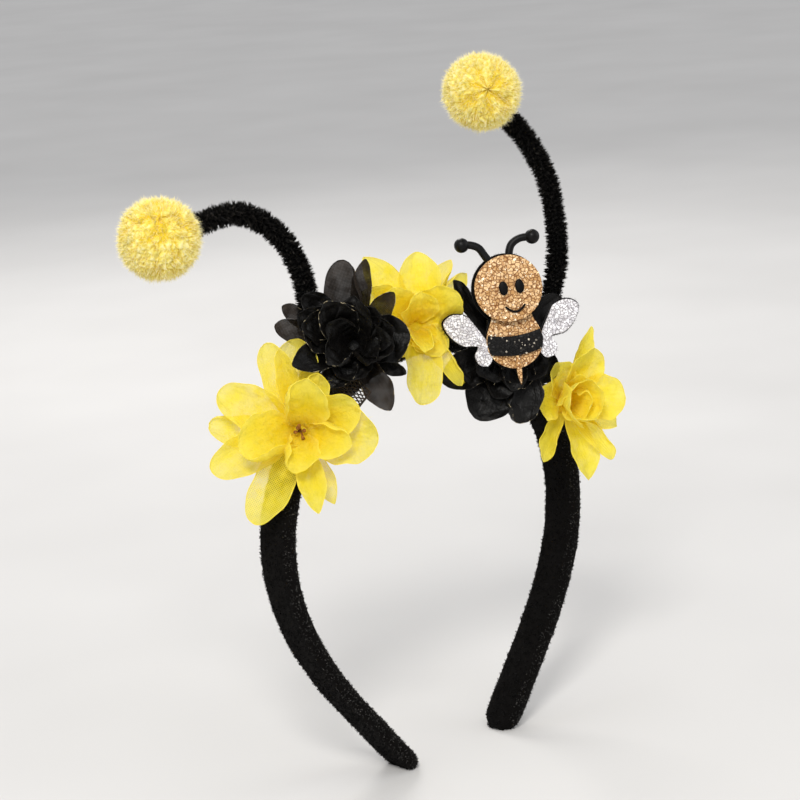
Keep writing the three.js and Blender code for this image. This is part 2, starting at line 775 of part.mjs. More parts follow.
function insideFan(x, y, margin, half) {
  const down = -y;
  const left = down * 0.72 * 1.16 * Math.tan(half * 0.9);
  const right = down * 1.44 * Math.tan(half);
  const leftEnd = NET_LENGTH * 0.72 * Math.tan(half * 0.9);
  const rightEnd = NET_LENGTH * 0.72 * Math.tan(half);
  const tip = NET_LENGTH * 0.1;
  if (x < -left + margin || x > right - margin) return false;
  const leftFloor = THREE.MathUtils.mapLinear(x, -leftEnd, tip, NET_LENGTH * 0.62, NET_LENGTH);
  const rightFloor = THREE.MathUtils.mapLinear(x, tip, rightEnd, NET_LENGTH, NET_LENGTH * 0.5);
  return down < (x < tip ? leftFloor : rightFloor) - margin;
}

function stamenSolid() {
  const flower = FLOWERS.find((row) => row.name === "flower_yellow_left");
  const axes = facingAxes(flower.facing, flower.rise);
  const parts = [];
  for (let i = 0; i < STAMEN_COUNT; i += 1) {
    const turn = (360 / STAMEN_COUNT) * i;
    const tilt = radians(STAMEN_SPREAD);
    const direction = axes.front.clone().multiplyScalar(Math.cos(tilt));
    direction.addScaledVector(axes.right, Math.sin(tilt) * Math.cos(radians(turn)));
    direction.addScaledVector(axes.up, Math.sin(tilt) * Math.sin(radians(turn)));
    const rod = new THREE.CylinderGeometry(STAMEN_DIAMETER * 0.7, STAMEN_DIAMETER / 2, STAMEN_LENGTH, 4);
    rod.translate(0, STAMEN_LENGTH * 0.45, 0);
    const turned = new THREE.Quaternion().setFromUnitVectors(new THREE.Vector3(0, 1, 0), direction);
    parts.push(solidOfGeometry(rod, new THREE.Matrix4().makeRotationFromQuaternion(turned)));
  }
  const at = point(flower.heart).addScaledVector(axes.front, HEART_RADIUS * 0.35 + GAP);
  const base = new THREE.IcosahedronGeometry(STAMEN_DIAMETER * 0.9, 0);
  parts.push(solidOfGeometry(base));
  const foot = wasm.Manifold.union(parts).translate([at.x, at.y, at.z]);
  return foot.subtract(flowerSolid(flower, GAP / 2));
}

const COLOURS = {
  velvet: 0x14110f,
  yellow: 0xf4d93a,
  blackCloth: 0x1b1817,
  gold: 0xd9a55c,
  silver: 0xd6d3d8,
  stripe: 0x2a2624,
  felt: 0x0e0d0d,
  rubber: 0x191919,
  stamen: 0x7a4a22,
};

const group = new THREE.Group();

const band = bandSolid();
const bandRoom = bandSolid(GAP);
const lowLevel = PLATE_THICKNESS + GAP;
const headLevel = lowLevel + FEELER_DIAMETER + GAP;
const beeLevels = {
  low: lowLevel,
  stripe: lowLevel + PLATE_THICKNESS + GAP,
  head: headLevel,
  face: headLevel + PLATE_THICKNESS + GAP,
};

// The bee is laid down first, then each piece behind it gives way to those in front.
const beeBacking = wasm.Manifold.union([
  plateSolid(ellipseShape(0, 0, 2 * (HEAD_RADIUS + BEE_BACKING_MARGIN), 2 * HEAD_RADIUS + 1), 0, PLATE_THICKNESS, 12),
  plateSolid(bodyShape(BEE_BACKING_MARGIN), 0),
  plateSolid(wingShape(-1, BEE_BACKING_MARGIN), 0),
  plateSolid(wingShape(1, BEE_BACKING_MARGIN), 0),
]);
const beeBody = plateSolid(bodyShape(), beeLevels.low);
const bodyRoom = plateSolid(bodyShape(GAP), beeLevels.low - GAP, PLATE_THICKNESS + 2 * GAP);
const beeHead = plateSolid(ellipseShape(0, 0, 2 * HEAD_RADIUS, 1.96 * HEAD_RADIUS), beeLevels.head, PLATE_THICKNESS, 14);
const pieces = [
  { name: "bee_backing", solid: beeBacking, colour: COLOURS.felt },
  { name: "bee_body", solid: beeBody, colour: COLOURS.gold },
  { name: "bee_wings_left", solid: plateSolid(wingShape(-1), beeLevels.low).subtract(bodyRoom), colour: COLOURS.silver },
  { name: "bee_wings_right", solid: plateSolid(wingShape(1), beeLevels.low).subtract(bodyRoom), colour: COLOURS.silver },
  { name: "bee_stripe", solid: plateSolid(stripeShape(), beeLevels.stripe, 0.9), colour: COLOURS.stripe },
  { name: "bee_stinger", solid: plateSolid(stingerShape(), beeLevels.stripe, 0.9), colour: COLOURS.gold },
  { name: "bee_head", solid: beeHead, colour: COLOURS.gold },
  {
    name: "bee_eye_left",
    solid: plateSolid(ellipseShape(FACE_SHIFT - EYE_SPACING / 2, 0.2, EYE_WIDTH, EYE_HEIGHT), beeLevels.face, 0.5, 7),
    colour: COLOURS.rubber,
  },
  {
    name: "bee_eye_right",
    solid: plateSolid(ellipseShape(FACE_SHIFT + EYE_SPACING / 2, 0.2, EYE_WIDTH, EYE_HEIGHT), beeLevels.face, 0.5, 7),
    colour: COLOURS.rubber,
  },
  { name: "bee_smile", solid: plateSolid(smileShape(), beeLevels.face, 0.5), colour: COLOURS.rubber },
];
for (const feeler of FEELERS) {
  pieces.push({ name: feeler.name, solid: feelerSolid(feeler), colour: COLOURS.rubber });
}

// Room that the pieces behind must leave, as solids grown by the gap.
const beeRoom = wasm.Manifold.union([
  plateSolid(ellipseShape(0, 0, 2 * HEAD_RADIUS + 2, 2 * HEAD_RADIUS + 2), -GAP, beeLevels.face + 1, 8),
  plateSolid(bodyShape(1), -GAP, beeLevels.stripe + 1.5),
  plateSolid(wingShape(-1, 1), -GAP, beeLevels.stripe + 0.4),
  plateSolid(wingShape(1, 1), -GAP, beeLevels.stripe + 0.4),
]);

let room = bandRoom.add(beeRoom);
const stems = [
  { name: "antenna_stem_left", line: LEFT_STEM_LINE, pompom: POMPOMS[0] },
  { name: "antenna_stem_right", line: RIGHT_STEM_LINE, pompom: POMPOMS[1] },
];
for (const row of POMPOMS) {
  pieces.push({ name: row.name, solid: pompomSolid(row), colour: COLOURS.yellow });
}
for (const stem of stems) {
  const solid = stemSolid(stem.line).subtract(bandRoom).subtract(pompomSolid(stem.pompom, GAP));
  pieces.push({ name: stem.name, solid: mainBody(solid), colour: COLOURS.velvet });
  room = room.add(stemSolid(stem.line, GAP));
}
for (const flower of FLOWERS) {
  const solid = mainBody(flowerSolid(flower).subtract(room));
  const colour = flower.name.includes("black") ? COLOURS.blackCloth : COLOURS.yellow;
  pieces.push({ name: flower.name, solid, colour });
  room = room.add(flowerSolid(flower, GAP));
}
const flowersRoom = room;
pieces.push({ name: "net_petal", solid: mainBody(netSolid().subtract(flowersRoom)), colour: COLOURS.blackCloth });
pieces.push({ name: "flower_stamens", solid: mainBody(stamenSolid()), colour: COLOURS.stamen });

pieces.unshift({ name: "headband", solid: band, colour: COLOURS.velvet });
for (const piece of pieces) {
  const shortest = piece.name.startsWith("pompom") ? SHORT_POMPOM_EDGE : SHORT_EDGE;
  group.add(meshOf(piece.solid, piece.name, piece.colour, shortest));
}

// The origin is the middle of the object's box, at the level of its feet.
const box = new THREE.Box3().setFromObject(group);
const middle = box.getCenter(new THREE.Vector3());
group.position.set(-middle.x, -middle.y, -box.min.z);

export default group;
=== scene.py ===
# Looks of the bee headband: velvet, chenille, yarn, organza, net, felt, glitter and rubber over its solids.
# Sizes are in millimetres and angles in degrees, until a piece is made, which is in metres.
import math

import bpy
import numpy as np
from mathutils import Matrix, Vector


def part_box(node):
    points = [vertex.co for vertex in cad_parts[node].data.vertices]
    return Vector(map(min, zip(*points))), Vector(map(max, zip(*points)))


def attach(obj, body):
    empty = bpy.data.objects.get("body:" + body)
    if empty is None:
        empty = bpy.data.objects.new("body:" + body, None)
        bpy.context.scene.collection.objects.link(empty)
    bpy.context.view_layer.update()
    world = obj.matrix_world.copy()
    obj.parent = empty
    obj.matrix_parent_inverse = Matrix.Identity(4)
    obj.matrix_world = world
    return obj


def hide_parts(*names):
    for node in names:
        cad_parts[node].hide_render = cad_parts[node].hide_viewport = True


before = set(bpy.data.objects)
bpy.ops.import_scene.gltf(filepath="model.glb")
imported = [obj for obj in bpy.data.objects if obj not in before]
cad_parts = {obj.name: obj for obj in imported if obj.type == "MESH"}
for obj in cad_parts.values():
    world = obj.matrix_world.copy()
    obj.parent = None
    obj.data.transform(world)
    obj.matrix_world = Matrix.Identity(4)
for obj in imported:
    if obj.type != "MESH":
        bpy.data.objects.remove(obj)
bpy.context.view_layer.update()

MM = 0.001

# Band: the same course as its solid.
BAND_HALF_SPAN = 68.3
BAND_FOOT_HALF_SPAN = 23
BAND_WIDEST_HEIGHT = 86
BAND_ARCH_RISE = 64
BAND_WIDTH = 16
BAND_THICKNESS = 5.4
BAND_LEAN = 4
BAND_BACK = 1
BAND_STATIONS = 280
BAND_CUT_HEIGHT = -1.5
FOOT_TIP_HEIGHT = 6
FOOT_TIP_SHARE = 0.4
ARCH_STEP = 15

# Course of a leg: share of the widest height, and share of the way out to the widest span.
LEG_LINE = [
    (-0.05, -0.08),
    (0.1, 0.14),
    (0.21, 0.3),
    (0.32, 0.46),
    (0.43, 0.61),
    (0.55, 0.75),
    (0.68, 0.87),
    (0.84, 0.965),
]

VELVET_TUFTS = 17000
VELVET_TUFT_FIBRES = 4
VELVET_LENGTH = 0.62
VELVET_WIDTH = 0.34
# Width of the strip along each edge of the band whose pile gets painted highlight and painted glints.
VELVET_HIGHLIGHT_EDGE = 1.6

# Antenna stems: the wire's course, and the pile round it.
LEFT_STEM_LINE = [
    (-43, 15, 139),
    (-41, 15, 158),
    (-42, 14, 178),
    (-47, 13, 191),
    (-58, 11, 203),
    (-73, 9, 210),
    (-92, 8, 208.5),
]
RIGHT_STEM_LINE = [
    (52, 12, 130),
    (62, 8, 144),
    (66, 5, 158),
    (67, 2, 172),
    (65, 0, 187),
    (60, -2, 202),
    (49, -4, 218),
    (36, -6, 230),
]
STEM_STATIONS = 150
STEM_RADIUS = 4.4
STEM_CORE_RADIUS = 2.2
STEM_RIB_PITCH = 1.75
STEM_TUFTS_PER_TURN = 24
STEM_TUFT_FIBRES = 10
STEM_FIBRE_WIDTH = 0.42

# Pompoms: plump yarn tufts that part along creases from one spot, with loose ends over them.
POMPOM_RADIUS = 14.5
POMPOM_BODY_RADIUS = 12.5
POMPOM_GRID = (150, 300)
POMPOM_CREASE_DEPTH = 1.7
POMPOM_TUFTS = 420
POMPOM_TUFT_DEPTH = 1.0
POMPOM_STREAK_DEPTH = 0.3
POMPOM_ENDS = 8000
POMPOM_END_WIDTH = 0.2
POMPOM_END_LENGTHS = (1.1, 2.5)
POMPOM_FUZZ = 5000
POMPOM_FUZZ_WIDTH = 0.11
POMPOM_FUZZ_LENGTHS = (0.8, 2.3)

# Where each pompom is, which way its parting faces and rises, and how many creases meet there.
POMPOMS = {
    "left": {"centre": (-105.5, 7, 207), "parting": (-29, 44), "creases": 4},
    "right": {"centre": (25, -8, 238.5), "parting": (-32, 10), "creases": 7},
}

# Flowers: petals in layers round a heart.
PETAL_ROOT_SHARE = 0.34
PETAL_START = 3
PETAL_LAYER_RISE = 0.05
PETAL_CUP = 0.16
PETAL_END = 1.015
PETAL_ROWS = 26
PETAL_LANES = 16
PETAL_RIM_RADIUS = 0.1
PETAL_RIM_STATIONS = 54
HEART_RADIUS = 4.6
PETAL_FOLD_SHARE = 0.5
PETAL_FOLD_LIFT = 0.8
# Share of the black petals whose rim bead carries painted glints; the others' rims are plain black cloth.
GLINTING_RIM_SHARE = 0.45

# How the cloth of each colour is worked: its ruffles, how pointed its petals are, the threads that fray from
# each rim, and how far the middle of a heart swells.
CLOTHS = {
    "yellow": {"ruffle": 1.0, "pointed": 1.0, "frays": 5, "swell": 1},
    "black": {"ruffle": 1.1, "pointed": 0.5, "frays": 3, "swell": 0.3},
}

# Rings of the plug in a heart: share of its radius, and level over its middle.
HEART_RINGS = [(0.0, 2.5), (0.3, 2.45), (0.62, 2.0), (0.92, 1.35), (1.0, 0.4), (0.98, -0.8)]
PLUG_RINGS = [(0.93, 0.5), (0.86, 0.85), (0.8, 1)]

# Each flower: its heart, the way it faces, and how far behind it the plug of gathered cloth may reach.
FLOWERS = {
    "black_left": {"heart": (-31.5, 3, 157.4), "facing": -40, "rise": 20, "reach": 17},
    "yellow_left": {"heart": (-58.2, 2, 133.1), "facing": -40, "rise": 16, "reach": 12},
    "yellow_middle": {"heart": (0, 8, 157), "facing": -20, "rise": 18, "reach": 8},
    "black_right": {"heart": (32.1, -3.5, 143.3), "facing": -24, "rise": 14, "reach": 14},
    "yellow_right": {"heart": (54.5, -9, 121.3), "facing": -8, "rise": 8, "reach": 17},
}

# Each petal: turn round the heart, length, width, lift off the flower's plane at the root and at the tip,
# and its cloth, as the number of its material. The last petals of each flower close its middle.
CLOSE, THIN, LACE = 0, 2, 3
PETALS = {
    "black_left": [
        (95, 27, 14, 25, 10, THIN),
        (78, 27, 7, 20, 10, THIN),
        (48, 20, 8, 20, 10, THIN),
        (3, 18, 17, 30, 15, CLOSE),
        (326, 18, 7, 15, 5, CLOSE),
        (295, 23, 10, 15, 0, THIN),
        (163, 25, 11, 15, 5, THIN),
        (147, 25, 9, 5, 0, THIN),
        (133, 23, 12, 30, 20, CLOSE),
        (200, 26, 11, 42, 38, CLOSE),
        (159, 22, 15, 45, 40, CLOSE),
        (119, 19, 15, 50, 45, CLOSE),
        (49, 17, 14, 50, 45, CLOSE),
        (343, 17, 14, 50, 40, CLOSE),
        (261, 14, 14, 40, 25, CLOSE),
        (234, 17, 13, 32, 22, CLOSE),
        (151, 24, 13, 47, 36, CLOSE),
        (124, 21, 13, 53, 43, CLOSE),
        (84, 19, 13, 54, 46, CLOSE),
        (12, 18, 13, 52, 40, CLOSE),
        (316, 15, 12, 56, 44, CLOSE),
        (140, 16, 13, 60, 60, CLOSE),
        (218, 15, 13, 54, 50, CLOSE),
    ],
    "yellow_left": [
        (151, 28, 15, 20, 0, THIN),
        (173, 28, 13, 10, -5, THIN),
        (200, 30, 14, 15, 0, THIN),
        (239, 32, 14, 8, -4, LACE),
        (279, 27, 9.5, 25, 10, CLOSE),
        (291, 24, 8, 5, -5, LACE),
        (349, 25, 20, 28, 10, THIN),
        (17, 21, 16, 34, 20, CLOSE),
        (108, 29, 12, 4, -6, THIN),
        (90, 28, 15, 2, -12, THIN),
        (68, 18, 12, 20, 12, CLOSE),
        (194, 22, 20, 46, 17, CLOSE),
        (76, 21, 18, 52, 40, CLOSE),
        (341, 20, 14, 46, 28, CLOSE),
        (262, 16, 15, 52, 28, CLOSE),
    ],
    "yellow_middle": [
        (123, 29, 12, 18, 15, CLOSE),
        (83, 24, 15, 25, 10, CLOSE),
        (51, 25, 9, 8, 0, THIN),
        (35, 26, 9, 0, -5, THIN),
        (21, 16, 15, 30, 15, CLOSE),
        (288, 15, 14, 60, 20, CLOSE),
        (257, 30, 14, 55, -15, THIN),
        (295, 26, 9, 50, -20, THIN),
        (150, 24, 16, 25, 20, CLOSE),
        (90, 14, 14, 55, 50, CLOSE),
        (251, 17, 12, 60, 55, CLOSE),
        (201, 17, 14, 25, 20, CLOSE),
        (150, 20, 18, 40, 32, CLOSE),
        (32, 18, 17, 42, 34, CLOSE),
        (290, 15, 16, 50, 50, CLOSE),
    ],
    "black_right": [
        (122, 30, 9, 20, 5, CLOSE),
        (195, 25, 14, 20, 10, CLOSE),
        (235, 25, 18, 20, 5, CLOSE),
        (276, 23.5, 18, 15, 0, CLOSE),
        (331, 18, 13, 5, -5, CLOSE),
        (36, 26, 12, 5, 0, CLOSE),
        (84, 17, 16, 15, 10, CLOSE),
        (206, 17, 13, 40, 30, CLOSE),
        (288, 13, 12, 30, 25, CLOSE),
        (240, 18, 13, 32, 22, CLOSE),
        (262, 15, 12, 40, 34, CLOSE),
        (320, 15, 12, 34, 24, CLOSE),
    ],
    "yellow_right": [
        (64, 26, 8, 20, 10, CLOSE),
        (66, 21, 14, 38, 28, CLOSE),
        (357, 20, 17, 40, 20, CLOSE),
        (324, 20, 8, 30, 10, CLOSE),
        (298, 26, 9.5, 30, 10, CLOSE),
        (277, 28, 11, 20, 0, CLOSE),
        (237, 21, 10, 10, -5, THIN),
        (169, 12, 15, 25, 10, CLOSE),
        (118, 18, 13, 35, 30, CLOSE),
        (24, 15, 17, 56, 74, CLOSE),
        (107, 15, 17, 54, 76, CLOSE),
        (192, 16, 18, 53, 78, CLOSE),
        (284, 15, 17, 55, 72, CLOSE),
        (350, 12, 14, 66, 92, CLOSE),
    ],
}

STAMEN_COUNT = 5
STAMEN_LENGTH = 4.9
STAMEN_RADIUS = 0.32
STAMEN_SPREAD = 38
STAMEN_FIBRES = 26

NET_ROOT = (-38.8, 0.5, 150.4)
NET_LENGTH = 16
NET_ANGLE = 74
NET_PITCH = 1.15
NET_SLOPES = (-62, -8)
NET_THREAD_RADIUS = 0.24

# Bee: cut-outs in a stack. Their outlines have the head's centre as origin, x to the right as seen.
BEE_HEAD_CENTRE = (28, -11.5, 168.2)
BEE_FACING = -34
BEE_RISE = 13
BEE_ROLL = 3
BEE_BACKING_MARGIN = 0.5
BEE_SURROUNDINGS = 40
FELT_FIBRES = 900
PLATE_THICKNESS = 1.3
HEAD_RADIUS = 12.1
HEAD_HEIGHT_SHARE = 0.98
STRIPE_TOP = 15.6
STRIPE_BOTTOM = 22.6
STRIPE_SAG = 1.3
LEVELS = {"low": 1.7, "stripe": 3.4, "head": 4.9, "face": 6.6}

# Half of the bee's body: how far below the head's centre, and half its width there.
BODY_LINE = [
    (9, 6.8),
    (12, 8.0),
    (15, 9.4),
    (18.5, 10.2),
    (22, 9.6),
    (25, 7.7),
    (27.3, 4.6),
    (28.4, 1.4),
]

# Outline of a pair of wings on one side: out from the middle line, and down from the head's centre.
WING_LINE = [
    (9.8, 13.6),
    (15.1, 8.3),
    (20.3, 6.6),
    (24.3, 9.0),
    (22.8, 13.8),
    (18.5, 17.9),
    (13.4, 18.9),
    (14.8, 22.1),
    (13.5, 25.5),
    (10.4, 26.0),
    (8.6, 23.3),
    (9.2, 18.1),
]

EYE_WIDTH = 3.2
EYE_HEIGHT = 5
EYE_SPACING = 5.8
FACE_SHIFT = 1
SMILE_WIDTH = 7.1
SMILE_DROP = 2.2
SMILE_BELOW = 6.3
SMILE_RADIUS = 0.42
STINGER_TOP = 24
STINGER_TIP = 34.3
STINGER_WIDTH = 2
FEELER_STATIONS = 34
FEELER_RADIUS = 1.4
FEELER_BALL_RADIUS = 2.65
FEELERS = {
    "left": [(-4.6, 9.4), (-6.4, 12.6), (-8.2, 15.6), (-11, 17), (-14, 17.3)],
    "right": [(2.0, 10), (2.6, 13.2), (3.8, 15.4), (6.8, 17), (11.4, 17)],
}
FLAKE_SIZE = 0.95
FLAKE_SHARE = 0.75
TRIM_THICKNESS = 1.2

# Threads in the cloth of the petals, and how coarse the open ones are. Middle of the range of shades.
WEAVE_SCALE = 6.5
LACE_SCALE = 5.4
MIDDLE_TONE = (0.5, 0.5)

# Camera: the photograph's angle, with its small turn of the horizon.
CAMERA_AZIMUTH = -40
CAMERA_ELEVATION = 14
CAMERA_ROLL = -4
CAMERA_DISTANCE = 842.1
CAMERA_TARGET = (-15, 0, 135)
CAMERA_LENS = 108

# Studio, in metres: the floor, and each light's place, power, size and colour.
FLOOR_RADIUS = 12
LIGHT_TARGET = (0.0, 0.0, 0.13)
LIGHTS = {
    "key": ((-0.75, -0.7, 1.05), 13.5, 0.4, (1.0, 0.98, 0.94)),
    "fill": ((0.95, -0.75, 0.55), 2, 0.8, (0.98, 0.99, 1.0)),
    "back": ((0.5, 0.85, 0.8), 5.5, 0.5, (1.0, 0.98, 0.95)),
}


def radians(angle):
    return np.radians(angle)


def unit(rows):
    rows = np.asarray(rows, float)
    return rows / np.maximum(np.linalg.norm(rows, axis=-1, keepdims=True), 1e-9)


def lerp(a, b, share):
    return a + (b - a) * share


def around(count):
    """Evenly spaced angles round a circle."""
    return np.linspace(0, 2 * math.pi, count, endpoint=False)


def jitter(rng, size, *shape):
    """Random amounts to both sides of nothing, of about that size."""
    return rng.normal(scale=size, size=shape)


def signed_area(outline):
    """Twice the area of a flat closed outline, below zero where it runs clockwise."""
    x, y = outline[:, 0], outline[:, 1]
    return (x * np.roll(y, -1) - np.roll(x, -1) * y).sum()


def wobble(points, size, seed):
    """Smooth noise of about -1 to 1, with bumps of about that size."""
    rng = np.random.default_rng(seed)
    waves = rng.normal(size=(14, np.shape(points)[-1])) * (3.6 / size)
    phases = rng.uniform(0, 2 * math.pi, 14)
    return np.sin(points @ waves.T + phases).mean(axis=-1) * 2.4


def smooth_line(points, per_span=20, power=0.5):
    """Closely spaced points on the smooth curve through the given ones."""
    p = np.array(points, float)
    p = np.vstack([2 * p[0] - p[1], p, 2 * p[-1] - p[-2]])
    spans = []
    u = np.linspace(0, 1, per_span, endpoint=False)[:, None]
    for i in range(len(p) - 3):
        p0, p1, p2, p3 = p[i : i + 4]
        d0, d1, d2 = (max(np.linalg.norm(b - a), 1e-6) ** power for a, b in ((p0, p1), (p1, p2), (p2, p3)))
        t1 = ((p1 - p0) / d0 - (p2 - p0) / (d0 + d1) + (p2 - p1) / d1) * d1
        t2 = ((p2 - p1) / d1 - (p3 - p1) / (d1 + d2) + (p3 - p2) / d2) * d1
        spans.append(p1 + t1 * u + (3 * (p2 - p1) - 2 * t1 - t2) * u**2 + (2 * (p1 - p2) + t1 + t2) * u**3)
    spans.append(p[-2][None])
    return np.vstack(spans)


def evenly(line, count):
    """The same line with evenly spaced points."""
    steps = np.linalg.norm(np.diff(line, axis=0), axis=1)
    run = np.concatenate([[0], np.cumsum(steps)])
    at = np.linspace(0, run[-1], count)
    return np.stack([np.interp(at, run, line[:, k]) for k in range(line.shape[1])], axis=1)


def line_length(line):
    return np.linalg.norm(np.diff(line, axis=0), axis=1).sum()


def frames_along(line):
    """Tangents, and two directions across, that turn as little as they can along the line."""
    tangents = unit(np.gradient(line, axis=0))
    across = np.empty_like(tangents)
    seed = np.array([0, 0, 1.0]) if abs(tangents[0][2]) < 0.9 else np.array([1.0, 0, 0])
    across[0] = unit(np.cross(tangents[0], seed))
    for i in range(1, len(line)):
        across[i] = unit(across[i - 1] - tangents[i] * (across[i - 1] @ tangents[i]))
    return tangents, across, np.cross(tangents, across)


def axes_of(facing, rise, roll=0):
    """Right and up as seen from the front of a thing that faces a direction, and the facing itself."""
    f, r, turn = radians(facing), radians(rise), radians(roll)
    front = np.array([np.sin(f) * np.cos(r), -np.cos(f) * np.cos(r), np.sin(r)])
    right = unit(np.cross((0, 0, 1), front))
    up = np.cross(front, right)
    return right * np.cos(turn) + up * np.sin(turn), up * np.cos(turn) - right * np.sin(turn), front


BEE_RIGHT, BEE_UP, BEE_FRONT = axes_of(BEE_FACING, BEE_RISE, BEE_ROLL)

# The solids' frame has its own origin, which the middle of the bee's head gives.
head_low, head_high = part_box("bee_head")
head_middle = (np.array(head_low) + np.array(head_high)) / 2 / MM
TABLE_ORIGIN = head_middle - np.array(BEE_HEAD_CENTRE) - BEE_FRONT * (LEVELS["head"] + PLATE_THICKNESS / 2)
TABLE_ORIGIN[2] = 0


def placed(name, data):
    """A new thing of the scene."""
    thing = bpy.data.objects.new(name, data)
    bpy.context.scene.collection.objects.link(thing)
    return thing


class Shape:
    """Points, faces, material numbers and texture places of a piece while it is put together."""

    def __init__(self):
        self.points, self.faces, self.uses, self.shape, self.tone = [], [], [], [], []
        self.count = 0

    def add(self, points, faces, shape=(0, 0), tone=(0, 0), use=0):
        points = np.asarray(points, float).reshape(-1, 3)
        number = len(points)
        self.points.append(points)
        for rows, values in ((self.shape, shape), (self.tone, tone)):
            rows.append(np.broadcast_to(np.asarray(values, float).reshape(-1, 2), (number, 2)))
        for block in faces:
            block = np.asarray(block) + self.count
            self.faces.extend(block.tolist())
            self.uses.extend([use] * len(block))
        self.count += number

    def piece(self, name, materials, replaced, smooth=True):
        mesh = bpy.data.meshes.new(name)
        points = (np.vstack(self.points) + TABLE_ORIGIN) * MM
        points[:, 2] = np.maximum(points[:, 2], 0)
        mesh.from_pydata(points.tolist(), [], self.faces)
        for material in materials:
            mesh.materials.append(material)
        mesh.polygons.foreach_set("material_index", self.uses)
        mesh.polygons.foreach_set("use_smooth", [smooth] * len(self.faces))
        corners = np.empty(len(mesh.loops), int)
        mesh.loops.foreach_get("vertex_index", corners)
        for title, rows in (("shape", self.shape), ("tone", self.tone)):
            layer = mesh.uv_layers.new(name=title)
            layer.uv.foreach_set("vector", np.vstack(rows)[corners].ravel())
        mesh.update()
        thing = placed(name, mesh)
        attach(thing, "root")
        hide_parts(replaced)


def grid_faces(rows, columns, closed=False):
    """Quads of a grid of rows by columns points. Closed joins each row's last point to its first."""
    r, c = np.meshgrid(np.arange(rows - 1), np.arange(columns - (0 if closed else 1)), indexing="ij")
    start, c = r.ravel() * columns, c.ravel()
    n = (c + 1) % columns
    return np.stack([start + c, start + n, start + columns + n, start + columns + c], axis=1)


def end_faces(rows, columns, flipped=False):
    """Faces over the first and the last ring of a closed grid."""
    first, last = list(range(columns)), list(range((rows - 1) * columns, rows * columns))
    return [[first], [last[::-1]]] if flipped else [[first[::-1]], [last]]


def tube(shape, line, radius, sides, use=0):
    """A closed tube along a line. The radius may change along it."""
    line = np.asarray(line, float)
    _, a, b = frames_along(line)
    turn = around(sides)
    radius = np.broadcast_to(radius, len(line))[:, None, None]
    ring = a[:, None] * np.cos(turn)[None, :, None] + b[:, None] * np.sin(turn)[None, :, None]
    points = line[:, None] + ring * radius
    faces = [grid_faces(len(line), sides, closed=True), *end_faces(len(line), sides)]
    along = np.repeat(np.linspace(0, 1, len(line)), sides)
    places = np.stack([along, np.tile(np.linspace(0, 1, sides), len(line))], axis=1)
    shape.add(points, faces, places, MIDDLE_TONE, use)


def fibres(shape, roots, ways, lengths, widths, bends, rng, use=0, joints=2, tones=None, taper=0.25):
    """Thin tapering ribbons from roots along ways. bends moves their ends aside."""
    count = len(roots)
    sides = unit(np.cross(ways, rng.normal(size=(count, 3))))
    tones = rng.uniform(size=count) if tones is None else tones
    lengths = np.broadcast_to(lengths, count)[:, None]
    widths = np.broadcast_to(widths, count)[:, None]
    rows, shares = [], []
    for joint in range(joints):
        share = joint / joints
        centre = roots + ways * lengths * share + bends * share**2
        half = sides * widths * (0.5 - taper * share)
        rows += [centre - half, centre + half]
        shares += [share, share]
    rows.append(roots + ways * lengths + bends)
    shares.append(1.0)
    number = 2 * joints + 1
    points = np.stack(rows, axis=1)
    base = np.arange(count)[:, None] * number
    faces = [base + np.array([2 * j, 2 * j + 1, 2 * j + 3, 2 * j + 2]) for j in range(joints - 1)]
    faces.append(base + np.array([number - 3, number - 2, number - 1]))
    along = np.tile(shares, count)
    places = np.stack([along, np.repeat(tones, number)], axis=1)
    shape.add(points, faces, places, np.stack([np.repeat(tones, number)] * 2, axis=1), use)


def scatter(points, faces, count, rng):
    """Random places on quads, spread by area, with the outward normal at each."""
    quads = np.asarray(points)[np.asarray(faces)]
    normals = np.cross(quads[:, 2] - quads[:, 0], quads[:, 3] - quads[:, 1])
    areas = np.linalg.norm(normals, axis=1)
    chosen = rng.choice(len(quads), count, p=areas / areas.sum())
    u, v = rng.uniform(size=(2, count, 1))
    picked = quads[chosen]
    places = lerp(lerp(picked[:, 0], picked[:, 1], u), lerp(picked[:, 3], picked[:, 2], u), v)
    return places, unit(normals[chosen])


